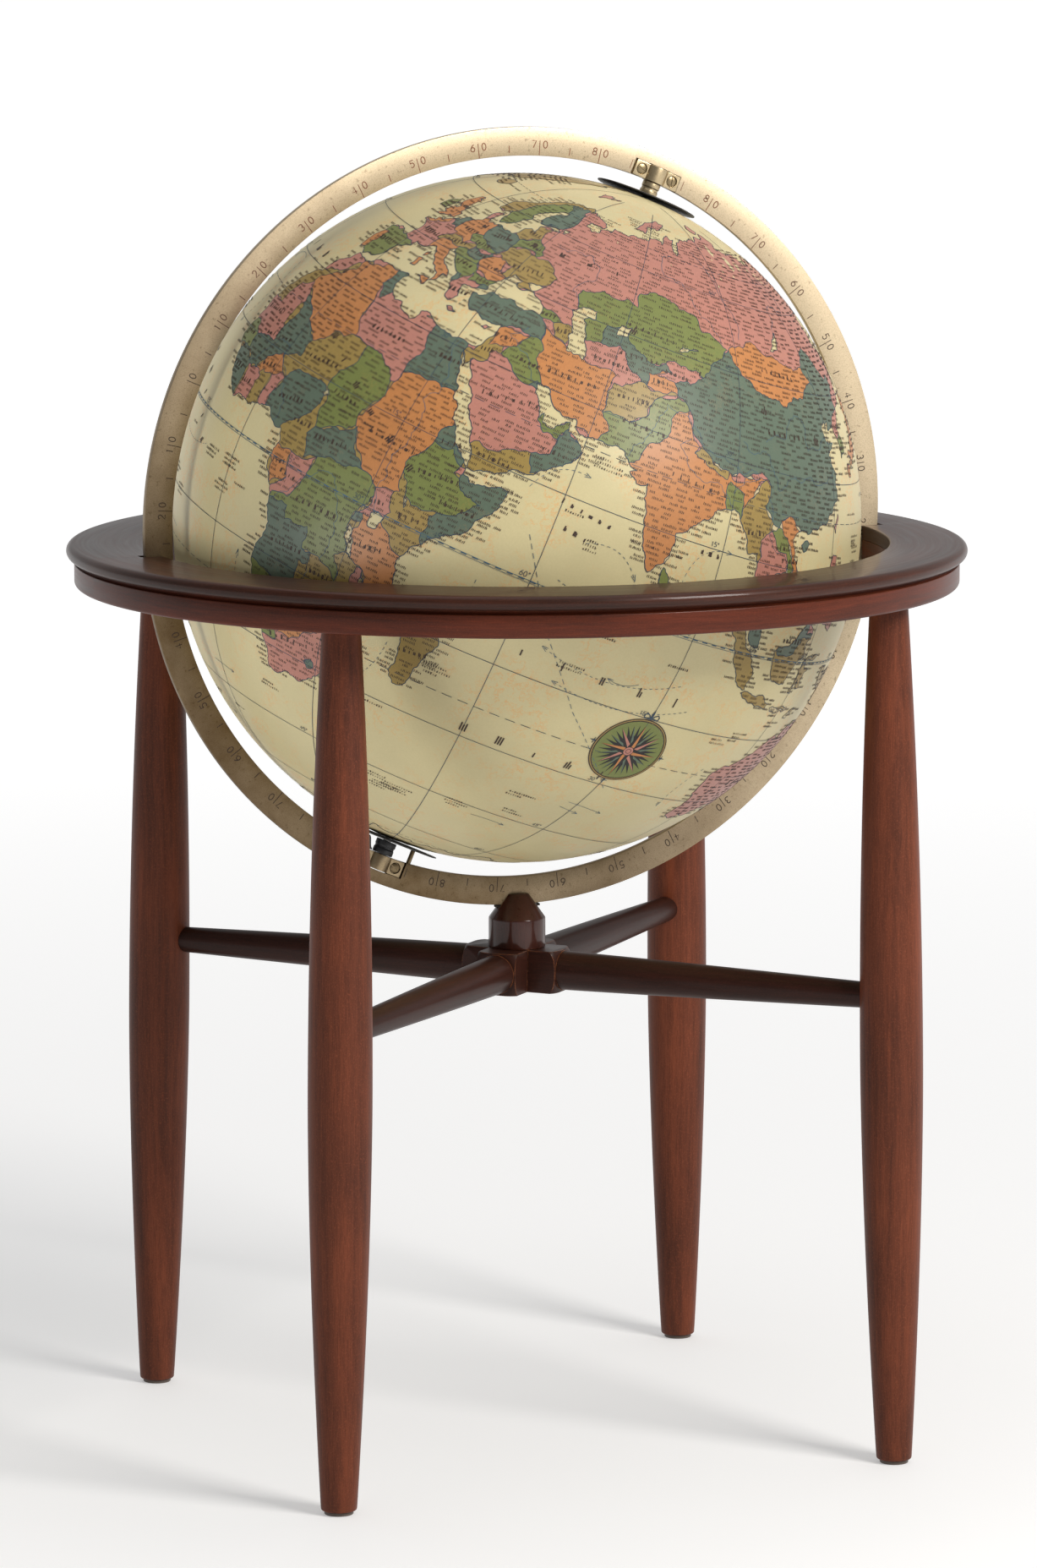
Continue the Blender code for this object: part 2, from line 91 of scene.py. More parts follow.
camera = new_object("camera", bpy.data.cameras.new("camera"))
camera.data.lens = CAMERA_LENS
camera.location = CAMERA_PLACE
camera.rotation_euler = (math.radians(CAMERA_PITCH), 0, math.radians(CAMERA_YAW))
camera.data.clip_end = 50
bpy.context.scene.camera = camera


# ---- material nodes -------------------------------------------------------------------------------------

STUDIO_TONE = 0.6  # share of a printed colour that gives the same colour to the eye in the studio's light


def new_material(name):
    material = bpy.data.materials.new(name)
    material.use_nodes = True
    tree = material.node_tree
    return material, tree, tree.nodes["Principled BSDF"]


def connect(tree, node, inputs):
    """Links those inputs whose values are sockets, and sets the others."""
    for key, value in inputs.items():
        if isinstance(value, bpy.types.NodeSocket):
            tree.links.new(value, node.inputs[key])
        else:
            node.inputs[key].default_value = value


def add(tree, kind, inputs=None, **settings):
    node = tree.nodes.new(kind)
    for key, value in settings.items():
        setattr(node, key, value)
    connect(tree, node, inputs or {})
    return node


def maths(tree, operation, a, b=0.0):
    return add(tree, "ShaderNodeMath", {0: a, 1: b}, operation=operation).outputs[0]


def weighted(tree, *terms, offset=None):
    """Sum of (value, weight) terms, and an offset."""
    total = None
    for value, weight in terms:
        term = maths(tree, "MULTIPLY", value, weight)
        total = term if total is None else maths(tree, "ADD", total, term)
    return total if offset is None else maths(tree, "ADD", total, offset)


def mix(tree, factor, a, b):
    a, b = (x if isinstance(x, bpy.types.NodeSocket) else (*x, 1.0) for x in (a, b))
    return add(tree, "ShaderNodeMix", {0: factor, 6: a, 7: b}, data_type="RGBA").outputs[2]


def ramp(tree, value, low, high, at_low=0.0, at_high=1.0, kind="LINEAR"):
    """Goes from at_low to at_high while the value goes from low to high."""
    inputs = {"Value": value, "From Min": low, "From Max": high, "To Min": at_low, "To Max": at_high}
    return add(tree, "ShaderNodeMapRange", inputs, interpolation_type=kind).outputs[0]


def overlay(tree, colour, tint, amount, value, low, high):
    """Lays up to an amount of the tint over a colour, where the value is between low and high or above."""
    return mix(tree, maths(tree, "MULTIPLY", ramp(tree, value, low, high), amount), colour, tint)


def scaled(colour, share):
    return [c * share for c in colour]


def vector(tree, operation, *values):
    return add(tree, "ShaderNodeVectorMath", dict(enumerate(values)), operation=operation).outputs


def noise(tree, place, scale, detail=2.0, roughness=0.5, stretch=(1, 1, 1)):
    place = vector(tree, "MULTIPLY", place, [scale * s for s in stretch])[0]
    inputs = {"Vector": place, "Scale": 1.0, "Detail": detail, "Roughness": roughness}
    return add(tree, "ShaderNodeTexNoise", inputs).outputs[0]


def object_coordinates(tree):
    return add(tree, "ShaderNodeTexCoord").outputs["Object"]


def split(tree, place):
    return add(tree, "ShaderNodeSeparateXYZ", {0: place}).outputs


def bump(tree, height, distance, strength):
    inputs = {"Height": height, "Distance": distance, "Strength": strength}
    return add(tree, "ShaderNodeBump", inputs).outputs[0]


def edge_wear(tree, radius):
    """1 along the sharp edges of a piece, where a rounded normal leaves the real one."""
    soft = add(tree, "ShaderNodeBevel", {"Radius": radius}, samples=4).outputs[0]
    real = add(tree, "ShaderNodeNewGeometry").outputs["Normal"]
    together = vector(tree, "DOT_PRODUCT", soft, real)["Value"]
    return ramp(tree, maths(tree, "SUBTRACT", 1.0, together), 0.03, 0.14)


def grain_place(tree, grain):
    """Coordinates with the wood's fibres along X."""
    place = object_coordinates(tree)
    if grain == "ring":
        x, y, z = split(tree, place)
        angle = maths(tree, "ARCTAN2", y, x)
        square = maths(tree, "ADD", maths(tree, "MULTIPLY", x, x), maths(tree, "MULTIPLY", y, y))
        along = maths(tree, "MULTIPLY", angle, 0.3)  # radians to metres at the ring's mean radius
        return add(tree, "ShaderNodeCombineXYZ", {0: along, 1: maths(tree, "SQRT", square), 2: z}).outputs[0]
    degrees, axis = (90, "Y_AXIS") if grain == "up" else (-grain, "Z_AXIS")
    inputs = {"Vector": place, "Angle": math.radians(degrees)}
    return add(tree, "ShaderNodeVectorRotate", inputs, rotation_type=axis).outputs[0]


WORN_WOOD = (0.42, 0.15, 0.06)


def wood(name, grain, dark, light, roughness, coat, coat_roughness, wear=0.0, relief=0.6):
    """Stained mahogany. Its grain runs "up", or as a "ring" round the horizon, or at some degrees about Z."""
    material, tree, shader = new_material(name)
    place = grain_place(tree, grain)
    bend = add(tree, "ShaderNodeTexNoise", {"Vector": place, "Scale": 4.0, "Detail": 2.0}).outputs["Color"]
    wavy = vector(tree, "MULTIPLY_ADD", bend, (0.0, 0.012, 0.012), place)[0]
    figure = noise(tree, wavy, 60, 3.0, 0.55, (0.05, 1, 1))
    streak = noise(tree, wavy, 330, 3.0, 0.6, (0.035, 1, 1))
    fibre = noise(tree, place, 1500, 2.0, 0.6, (0.05, 1, 1))
    speck = noise(tree, place, 900, 2.0, 0.7, (0.8, 1, 1))
    blotch = noise(tree, place, 9, 3.0, 0.5)
    tone = weighted(tree, (figure, 0.5), (streak, 0.35), (blotch, 0.35))
    colour = mix(tree, ramp(tree, tone, 0.38, 0.82), dark, light)
    colour = overlay(tree, colour, scaled(dark, 0.35), 0.35, fibre, 0.42, 0.75)
    colour = overlay(tree, colour, scaled(light, 1.5), 0.3, speck, 0.52, 0.75)
    if wear:
        rubbed = ramp(tree, noise(tree, place, 160, 3.0), 0.35, 0.62)
        worn = maths(tree, "MULTIPLY", edge_wear(tree, 0.0009), rubbed)
        colour = mix(tree, maths(tree, "MULTIPLY", worn, wear), colour, WORN_WOOD)
    pores = weighted(tree, (fibre, 0.7), (streak, 0.5))
    connect(tree, shader, {
        "Base Color": colour, "Roughness": weighted(tree, (streak, 0.16), offset=roughness - 0.08),
        "Specular IOR Level": 0.14, "Coat Weight": coat, "Coat Roughness": coat_roughness, "Coat IOR": 1.5,
        "Normal": bump(tree, pores, 0.00006, relief)})
    return material


def brass(name, light, dark, roughness, low, high):
    """Satin brass, finely pitted, with patchy tarnish. Its colour holds painted shade and painted light: it
    goes from dark to bright while x + z goes from low to high.
    """
    material, tree, shader = new_material(name)
    place = object_coordinates(tree)
    x, _, z = split(tree, place)
    # Painted light: darker, as in shade, at the lower left and lighter, as if lit, at the upper right, by x +
    # z.
    height = ramp(tree, maths(tree, "ADD", x, z), low, high)
    cloud = noise(tree, place, 22, 4.0, 0.6)
    grain = noise(tree, place, 1400, 2.0, 0.7)
    spots = noise(tree, place, 300, 3.0, 0.65)
    # Painted shade and light from x + z, with real patchy tarnish from the cloud noise.
    tarnish_and_painted_light = weighted(tree, (height, 0.75), (cloud, 0.5))
    colour = mix(tree, ramp(tree, tarnish_and_painted_light, 0.12, 0.85), dark, light)
    colour = overlay(tree, colour, scaled(dark, 0.55), 0.35, grain, 0.45, 0.75)
    colour = overlay(tree, colour, scaled(dark, 0.6), 0.45, spots, 0.6, 0.72)
    connect(tree, shader, {
        "Base Color": colour, "Roughness": weighted(tree, (spots, 0.2), offset=roughness - 0.1),
        "Metallic": 1.0, "Normal": bump(tree, grain, 0.00004, 0.5)})
    return material


def plain(name, colour, roughness, grain_scale, contrast, metallic=0.0, relief=0.00004):
    """A surface of one colour with fine mottling and relief."""
    material, tree, shader = new_material(name)
    place = object_coordinates(tree)
    fine = noise(tree, place, grain_scale, 3.0, 0.6)
    cloud = noise(tree, place, grain_scale / 14, 3.0, 0.6)
    tone = weighted(tree, (fine, 0.6), (cloud, 0.4))
    shade = scaled(colour, 1 - contrast)
    bright = [min(1.0, c) for c in scaled(colour, 1 + contrast)]
    connect(tree, shader, {
        "Base Color": mix(tree, ramp(tree, tone, 0.35, 0.65), shade, bright),
        "Roughness": weighted(tree, (cloud, 0.2), offset=roughness - 0.1),
        "Metallic": metallic, "Normal": bump(tree, fine, relief, 0.6)})
    return material


def lin(*rgb):
    """A colour given as the eye sees it in the studio's light, as a surface colour."""
    return tuple(STUDIO_TONE * ((c / 255 + 0.055) / 1.055) ** 2.4 for c in rgb)


FOXING = (0.62, 0.27, 0.07)


def print_paper(name, colour, stain, ink=0.0):
    """Varnished globe paper: mottled, foxed with small stains, and a little uneven."""
    material, tree, shader = new_material(name)
    place = object_coordinates(tree)
    cloud = noise(tree, place, 14, 4.0, 0.55)
    fibre = noise(tree, place, 700, 3.0, 0.7)
    vein = noise(tree, place, 70, 5.0, 0.75)
    crease = maths(tree, "ABSOLUTE", maths(tree, "SUBTRACT", vein, 0.5))
    patch = ramp(tree, noise(tree, place, 30, 3.0, 0.6), 0.45, 0.62)
    foxing = maths(tree, "MULTIPLY", maths(tree, "SUBTRACT", 1.0, ramp(tree, crease, 0.0, 0.022)), patch)
    base = mix(tree, ramp(tree, cloud, 0.32, 0.7), scaled(colour, 0.9), colour)
    base = overlay(tree, base, scaled(colour, 0.6), 0.16 + ink, fibre, 0.4, 0.75)
    base = mix(tree, maths(tree, "MULTIPLY", foxing, stain), base, FOXING)
    connect(tree, shader, {
        "Base Color": base, "Roughness": weighted(tree, (cloud, 0.12), offset=0.42),
        "Specular IOR Level": 0.35, "Coat Weight": 0.12, "Coat Roughness": 0.3,
        "Normal": bump(tree, fibre, 0.00003, 0.5)})
    return material


def engraving_ink():
    """Black wax in the ring's scale, brown towards the top of the ring, and worn to brown here and there."""
    material, tree, shader = new_material("engraving_ink")
    place = object_coordinates(tree)
    height = split(tree, place)[2]
    colour = mix(tree, ramp(tree, height, 0.80, 0.97), (0.035, 0.018, 0.010), (0.20, 0.055, 0.015))
    worn = ramp(tree, noise(tree, place, 500, 3.0, 0.6), 0.55, 0.9)
    connect(tree, shader, {"Base Color": mix(tree, worn, colour, (0.22, 0.13, 0.06)), "Roughness": 0.6})
    return material


WOOD_DARK = (0.022, 0.0085, 0.0055)
ARM_TONES = ((0.014, 0.006, 0.004), (0.045, 0.013, 0.008))
board_wood = wood("board_mahogany", "ring", (0.010, 0.006, 0.004), (0.066, 0.018, 0.009), roughness=0.40,
                  coat=0.18, coat_roughness=0.03, relief=0.1)
apron_wood = wood("apron_mahogany", "ring", WOOD_DARK, (0.135, 0.026, 0.010), roughness=0.38, coat=0.1,
                  coat_roughness=0.08, wear=0.25)
leg_wood = wood("leg_mahogany", "up", (0.036, 0.012, 0.007), (0.20, 0.050, 0.021), roughness=0.48, coat=0.05,
                coat_roughness=0.22)
post_wood = wood("post_mahogany", "up", WOOD_DARK, (0.06, 0.015, 0.009), roughness=0.3, coat=0.5,
                 coat_roughness=0.07, wear=0.9)
rising_wood, falling_wood = (
    wood(f"{way}_mahogany", degrees, *ARM_TONES, roughness=0.42, coat=0.08, coat_roughness=0.12, wear=0.9)
    for way, degrees in (("rising", 45), ("falling", -45)))
# low and high set where each brass runs from painted shade to painted light.
ring_brass = brass("ring_brass", (0.60, 0.49, 0.335), (0.125, 0.074, 0.029), roughness=0.46,
                   low=0.34, high=0.98)
bracket_brass = brass("bracket_brass", (0.55, 0.44, 0.27), (0.18, 0.12, 0.07), roughness=0.36,
                      low=0.1, high=1.1)
screw_brass = brass("screw_brass", (0.30, 0.23, 0.13), (0.12, 0.08, 0.045), roughness=0.34, low=0.1, high=1.1)
steel = plain("zinc_plate", (0.50, 0.50, 0.49), 0.36, 900, 0.2, metallic=1.0)
black = plain("black_moulding", (0.016, 0.016, 0.017), 0.42, 1200, 0.3)
black_steel = plain("blackened_steel", (0.03, 0.03, 0.032), 0.4, 1200, 0.3, metallic=0.6)
felt = plain("felt", (0.028, 0.022, 0.018), 0.95, 2600, 0.6, relief=0.0002)
nylon = plain("nylon", (0.10, 0.075, 0.06), 0.5, 900, 0.2)
card = plain("card", (0.30, 0.26, 0.21), 0.85, 500, 0.25)
line_ink = plain("line_ink", lin(54, 74, 92), 0.6, 700, 0.4)
blue_ink = plain("blue_ink", lin(70, 104, 126), 0.6, 700, 0.4)
name_ink = plain("name_ink", lin(66, 44, 32), 0.6, 700, 0.4)
black_ink = plain("black_ink", lin(34, 32, 30), 0.6, 700, 0.3)
sea_paper = print_paper("sea_paper", lin(243, 228, 174), 0.7)
PRINTS = {
    "rose": print_paper("rose_print", lin(214, 146, 128), 0.15, 0.15),
    "orange": print_paper("orange_print", lin(221, 148, 86), 0.15, 0.15),
    "teal": print_paper("teal_print", lin(110, 128, 108), 0.1, 0.15),
    "green": print_paper("green_print", lin(138, 148, 80), 0.1, 0.15),
    "olive": print_paper("olive_print", lin(182, 154, 84), 0.12, 0.15),
    "cream": print_paper("land_cream_print", lin(236, 218, 168), 0.3),
}


# ---- mesh helpers ---------------------------------------------------------------------------------------

def smooth_shaded(mesh, sharp):
    mesh.shade_smooth()
    mesh.set_sharp_from_angle(angle=math.radians(sharp))
    return mesh


def piece_from(name, bm, material=None, matrix=None, sharp=SHARP_ANGLE):
    if matrix:
        bmesh.ops.transform(bm, matrix=matrix, verts=bm.verts)
    bmesh.ops.recalc_face_normals(bm, faces=bm.faces)
    mesh = bpy.data.meshes.new(name)
    bm.to_mesh(mesh)
    bm.free()
    if material:
        mesh.materials.append(material)
    return new_object(name, smooth_shaded(mesh, sharp))


ball_pieces = bpy.data.collections.new("ball_pieces")


def settle(obj, body, slot, *replaced):
    """Attaches a finished piece to its body and hides the CAD nodes that it stands for."""
    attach(obj, body)
    if body == "globe":
        ball_pieces.objects.link(obj)
    if replaced:
        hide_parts(*replaced)


def spread(start, end, steps):
    return [start + (end - start) * i / steps for i in range(steps + 1)]


def ellipse(cx, cy, rx, ry, start=0, end=360, steps=14):
    angles = [math.radians(degrees) for degrees in spread(start, end, steps)]
    return [(cx + rx * math.cos(a), cy + ry * math.sin(a)) for a in angles]


def arc(centre, radius, start, end, steps):
    return ellipse(*centre, radius, radius, start, end, steps)


def rod(radius, low, high):
    return [(0, high), (radius, high), (radius, low), (0, low)]


def soften(profile, radius, steps=3):
    """Rounds the corners of a profile, except its two ends where they lie on the axis."""
    points = [Vector(p) for p in profile]
    ends = (0, len(points) - 1) if points[0].x == 0 and points[-1].x == 0 else ()
    result = []
    for i, p in enumerate(points):
        before, after = points[i - 1] - p, points[(i + 1) % len(points)] - p
        if i in ends or before.angle(after) > math.radians(160):
            result.append(p)
            continue
        reach = min(radius, before.length * 0.45, after.length * 0.45)
        a, b = p + before.normalized() * reach, p + after.normalized() * reach
        result += [a * (1 - t) ** 2 + p * 2 * t * (1 - t) + b * t * t for t in spread(0, 1, steps)]
    return [(p.x, p.y) for p in result]


def turned(name, profile, segments, material=None, matrix=None):
    """Spins a profile of (radius, height) about Z. One that begins and ends on the axis gets flat ends."""
    capped = profile[0][0] == 0 and profile[-1][0] == 0
    points = profile[1:-1] if capped else profile
    bm = bmesh.new()
    rings = []
    for k in range(segments):
        a = math.tau * k / segments
        rings.append([bm.verts.new((r * math.cos(a), r * math.sin(a), z)) for r, z in points])
    for k in range(segments):
        here, there = rings[k], rings[(k + 1) % segments]
        for i in range(len(points) - capped):
            j = (i + 1) % len(points)
            bm.faces.new((here[i], there[i], there[j], here[j]))
    if capped:
        bm.faces.new([ring[0] for ring in rings])
        bm.faces.new([ring[-1] for ring in rings])
    return piece_from(name, bm, material, matrix)


def block(name, low, high, material=None, matrix=None, bevel=0.0):
    bm = bmesh.new()
    bmesh.ops.create_cube(bm, size=1.0)
    low, high = Vector(map(min, low, high)), Vector(map(max, low, high))
    bmesh.ops.transform(bm, matrix=shift(*(low + high) / 2) @ Matrix.Diagonal((*(high - low), 1.0)),
                        verts=bm.verts)
    if bevel:
        bmesh.ops.bevel(bm, geom=bm.edges, offset=bevel, segments=2, affect="EDGES", profile=0.5)
    return piece_from(name, bm, material, matrix)


def carve(piece, *cutters, operation="DIFFERENCE"):
    """Applies Booleans by the cutters, which are then gone."""
    for cutter in cutters:
        modifier = piece.modifiers.new("carve", "BOOLEAN")
        modifier.operation = operation
        modifier.solver = "EXACT"
        modifier.object = cutter
    shape = piece.evaluated_get(bpy.context.evaluated_depsgraph_get())
    mesh = bpy.data.meshes.new_from_object(shape)
    piece.modifiers.clear()
    piece.data = smooth_shaded(mesh, SHARP_ANGLE)
    for cutter in cutters:
        bpy.data.objects.remove(cutter)
    return piece


# ---- horizon --------------------------------------------------------------------------------------------

def settle_horizon(name, profile, material):
    """One ring of the horizon with a notch for the meridian ring at either side."""
    piece = turned(name, profile, 288, material)
    carve(piece, *[block("cutter", (side * (HOLE_R - 0.01), -NOTCH_HALF, APRON_BOTTOM - 0.01),
                         (side * NOTCH_END, NOTCH_HALF, BOARD_TOP + 0.01)) for side in (1, -1)])
    settle(piece, "stand", "mahogany_lacquer", *[f"{name}_{corner}" for corner in CORNERS])


nose, lip = BOARD_T / 2, 0.0012
board_bottom = BOARD_TOP - BOARD_T
settle_horizon("horizon_board", [
    *arc((BOARD_R - nose, BOARD_TOP - nose), nose, 90, -90, 16), (HOLE_R, board_bottom),
    (HOLE_R, BOARD_TOP - lip), *arc((HOLE_R + lip, BOARD_TOP - lip), lip, 150, 90, 3)], board_wood)

apron_top, bead, foot_round = board_bottom - 0.0004, 0.0008, 0.003
settle_horizon("horizon_apron", [
    (HOLE_R, apron_top), (APRON_R - COVE_R, apron_top), *arc((APRON_R, apron_top), COVE_R, 180, 270, 8),
    *arc((APRON_R - bead, apron_top - COVE_R - bead), bead, 60, 0, 2),
    *arc((APRON_R - foot_round, APRON_BOTTOM + foot_round), foot_round, 0, -90, 6),
    (HOLE_R, APRON_BOTTOM)], apron_wood)


def slotted_head(name, radius, matrix, material, slot_turn, height=0.0012, slot_half=0.0004, shank=0.002):
    """Domed screw head that looks along the matrix's +Z, its face at z = 0."""
    dome = [(0, 0), (radius * 0.6, -0.0001), (radius * 0.88, -0.0004), (radius, -height * 0.6),
            (radius, -height), (shank, -height * 2), (shank, -height * 3), (0, -height * 3)]
    head = turned(name, dome, 40, material, matrix)
    return carve(head, block("cutter", (-radius * 2, -slot_half, -0.0007), (radius * 2, slot_half, 0.01),
                             matrix=matrix @ Matrix.Rotation(slot_turn, 4, "Z")))


screw_circle, proud = (HOLE_R + APRON_R) / 2, 0.0008
for i in range(8):
    a = math.radians(22.5 + 45 * i)
    spot = shift(screw_circle * math.cos(a), screw_circle * math.sin(a), APRON_BOTTOM + proud)
    down = spot @ turn(180, "X")
    settle(slotted_head(f"horizon_screw_head_{i + 1}", 0.0038, down, steel, 0.7 * i), "stand", "zinc_steel",
           f"horizon_screw_{i + 1}")
underside = shift(0, 0, STRETCHER_Z - BLOCK_HALF + proud) @ turn(180, "X")
cradle_screw = slotted_head("cradle_screw_head", 0.0048, underside, steel, 0.4)
settle(cradle_screw, "stand", "zinc_steel", "cradle_screw")


# ---- legs -----------------------------------------------------------------------------------------------

def leg_radius(share):
    """The cigar shape: its thickest place is at LEG_MID_AT of the way from the top."""
    if share < LEG_MID_AT:
        u = (LEG_MID_AT - share) / LEG_MID_AT
        return (LEG_MID_D - (LEG_MID_D - LEG_TOP_D) * u ** 2) / 2
    u = (share - LEG_MID_AT) / (1 - LEG_MID_AT)
    return (LEG_MID_D - (LEG_MID_D - LEG_FOOT_D) * u ** 1.65) / 2


leg_top, leg_bottom = APRON_BOTTOM - 0.0002, GLIDE_H + GAP
slope = (LEG_FOOT_CIRCLE - LEG_TOP_CIRCLE) / (leg_top - GLIDE_H)
splay = Matrix.Identity(4)
splay[0][2] = -slope
splay[0][3] = LEG_TOP_CIRCLE + slope * leg_top
leg_rows, foot_edge = 72, 0.0015
leg_profile = [(0, leg_top)]
leg_profile += [(leg_radius(i / leg_rows), leg_top + (leg_bottom - leg_top) * i / leg_rows)
                for i in range(leg_rows)]
leg_profile += arc((leg_radius(1) - foot_edge, leg_bottom + foot_edge), foot_edge, 0, -90, 3)
leg_profile.append((0, leg_bottom))
for corner, degrees in CORNERS.items():
    matrix = turn(degrees, "Z") @ splay
    settle(turned(f"turned_leg_{corner}", leg_profile, 56, leg_wood, matrix), "stand", "mahogany_lacquer",
           f"leg_{corner}")
    settle(turned(f"foot_pad_{corner}", soften(rod(GLIDE_R, 0, GLIDE_H), 0.0006), 40, nylon, matrix), "stand",
           "nylon", f"foot_glide_{corner}")


# ---- stretchers and cradle ------------------------------------------------------------------------------

def mirrored(half):
    return half + [(r, -z) for r, z in reversed(half)]


def arm_profile():
    """Both arms of a stretcher, from leg to leg, thinner towards the legs."""
    share = (APRON_BOTTOM - STRETCHER_Z) / APRON_BOTTOM
    centre = LEG_TOP_CIRCLE + (LEG_FOOT_CIRCLE - LEG_TOP_CIRCLE) * share
    shoulder = centre - leg_radius(share) + 0.0012
    tenon = shoulder + 0.004
    root = BLOCK_LENGTH / 2 - 0.006
    half = [(0, tenon), (ARM_TIP_R - 0.0003, tenon)]
    for i in range(25):
        u = 1 - i / 24
        half.append((ARM_ROOT_R - (ARM_ROOT_R - ARM_TIP_R) * u ** 1.2, root + (shoulder - root) * u))
    return mirrored(half)


def settle_stretcher(way, degrees, half_kept, material):
    """Turned arms on a half-lapped square block. half_kept is 1 for an upper half and -1 for a lower one."""
    upright = shift(0, 0, STRETCHER_Z) @ turn(degrees, "Z")
    matrix = upright @ turn(90, "Y")
    half = BLOCK_LENGTH / 2
    corner = (BLOCK_HALF, BLOCK_HALF, half)
    piece = block(f"turned_stretcher_{way}", scaled(corner, -1), corner, material, matrix, 0.0005)
    drop = BLOCK_HALF * math.sqrt(2) + 0.0005 - ARM_ROOT_R
    envelope = mirrored([(0, half), *arc((ARM_ROOT_R, half - drop), drop, 90, 0, 10)])
    carve(piece, turned("cutter", envelope, 64, matrix=matrix), operation="INTERSECT")
    carve(piece, turned("cutter", arm_profile(), 64, matrix=matrix), operation="UNION")
    side, past = BLOCK_HALF + GAP, BLOCK_HALF * 2
    carve(piece, block("cutter", (-side, -side, half_kept * GAP / 2), (side, side, -half_kept * past),
                       matrix=upright))
    settle(piece, "stand", "mahogany_lacquer", f"stretcher_{way}")


settle_stretcher("rising", 45, 1, rising_wood)
settle_stretcher("falling", -45, -1, falling_wood)

post_base = STRETCHER_Z + BLOCK_HALF + 0.0002
post_profile = [(0, POST_TOP), (POST_FLAT_R, POST_TOP), (POST_R, POST_CHAMFER_Z), (POST_R, post_base),
                (0, post_base)]
post = turned("turned_post", soften(post_profile, 0.0007), 96, post_wood)
slot_floor = CENTRE_Z - RING_OUTER - GAP * 2 - 0.0015
carve(post, block("cutter", (-0.03, -SLOT_HALF, slot_floor), (0.03, SLOT_HALF, POST_TOP + 0.01)))
settle(post, "stand", "mahogany_lacquer", "cradle_post")


# ---- strokes: thin raised lines for engraving and print ---------------------------------------------------

def strokes(name, lines, lift, material):
    """One closed strip for each line, which is a list of (point, normal, width). Its top is lift higher."""
    verts, faces = [], []
    for line in lines:
        start, count = len(verts), len(line)
        if count < 2:
            continue
        for i, (point, normal, width) in enumerate(line):
            ahead = line[min(i + 1, count - 1)][0] - line[max(i - 1, 0)][0]
            side = ahead.cross(normal).normalized() * (width / 2)
            rise = normal * lift
            verts += [point - side, point + side, point + side + rise, point - side + rise]
        for i in range(count - 1):
            a, b = start + 4 * i, start + 4 * i + 4
            faces += [(b + k, b + (k + 1) % 4, a + (k + 1) % 4, a + k) for k in range(4)]
        end = start + 4 * (count - 1)
        faces += [(start, start + 1, start + 2, start + 3), (end + 3, end + 2, end + 1, end)]
    mesh = bpy.data.meshes.new(name)
    mesh.from_pydata([tuple(v) for v in verts], [], faces)
    mesh.materials.append(material)
    return new_object(name, mesh)


DIGITS = {  # thin strokes in a box 0.66 wide and 1 high, about its middle
    "0": [ellipse(0, 0, 0.3, 0.5, 90, 450)],
    "1": [[(-0.12, 0.34), (0.04, 0.5), (0.04, -0.5)]],
    "2": [ellipse(0, 0.22, 0.28, 0.28, 170, -40, 8) + [(-0.3, -0.5), (0.32, -0.5)]],
    "3": [ellipse(-0.02, 0.25, 0.26, 0.25, 150, -80, 8) + ellipse(-0.02, -0.23, 0.31, 0.27, 80, -150, 8)],
    "4": [[(0.12, -0.5), (0.12, 0.5), (-0.32, -0.18), (0.34, -0.18)]],
    "5": [[(0.28, 0.5), (-0.22, 0.5), (-0.26, 0.06)] + ellipse(-0.02, -0.18, 0.3, 0.32, 130, -140, 10)],
    "6": [[(0.2, 0.5), (-0.12, 0.22)] + ellipse(0, -0.2, 0.3, 0.3, 150, 510, 14)],
    "7": [[(-0.3, 0.5), (0.3, 0.5), (-0.1, -0.5)]],
    "8": [ellipse(0, 0.25, 0.25, 0.25, -90, 270, 12), ellipse(0, -0.25, 0.3, 0.25, 90, 450, 12)],
    "9": [ellipse(0, 0.2, 0.3, 0.3, -30, 330, 14) + [(0.26, 0.1), (-0.2, -0.5)]],
    "o": [ellipse(-0.1, 0.36, 0.13, 0.13, 90, 450, 8)],
}


# ---- meridian ring --------------------------------------------------------------------------------------

half_t = RING_T / 2
ring_profile = [(RING_INNER, half_t), (RING_OUTER, half_t), (RING_OUTER, -half_t), (RING_INNER, -half_t)]
ring = turned("brass_ring", soften(ring_profile, 0.0004, 2), 360, ring_brass,
              shift(0, 0, CENTRE_Z) @ FACING_FRONT)
pocket_top, pocket_low = RING_INNER + PLATE_DEPTH + GAP, RING_INNER - 0.01
boss_wide = BOSS_R + 0.0004
for matrix in POLE_FRAMES.values():
    carve(ring, block("cutter", (-PLATE_HALF - 0.0016, -0.01, pocket_low), (PLATE_HALF + GAP, 0, pocket_top),
                      matrix=matrix))
    carve(ring, block("cutter", (-boss_wide, -0.02, pocket_low - 0.01), (boss_wide, 0.02, pocket_top + GAP),
                      matrix=matrix))
settle(ring, "meridian", "satin_brass", "meridian_ring")

DIGIT_AT, DIGIT_SIZE, DIGIT_APART = 0.0084, 0.0052, 0.0044
TICKS = {"pole": (0.0025, 0.0095, 0.0005), "five": (0.0022, 0.0076, 0.00065), "ten": (0.0004, 0.0112, 0.0006)}
DIGIT_STROKE, ENGRAVING_LIFT, ENGRAVING_T = 0.00075, 0.00003, 0.00006


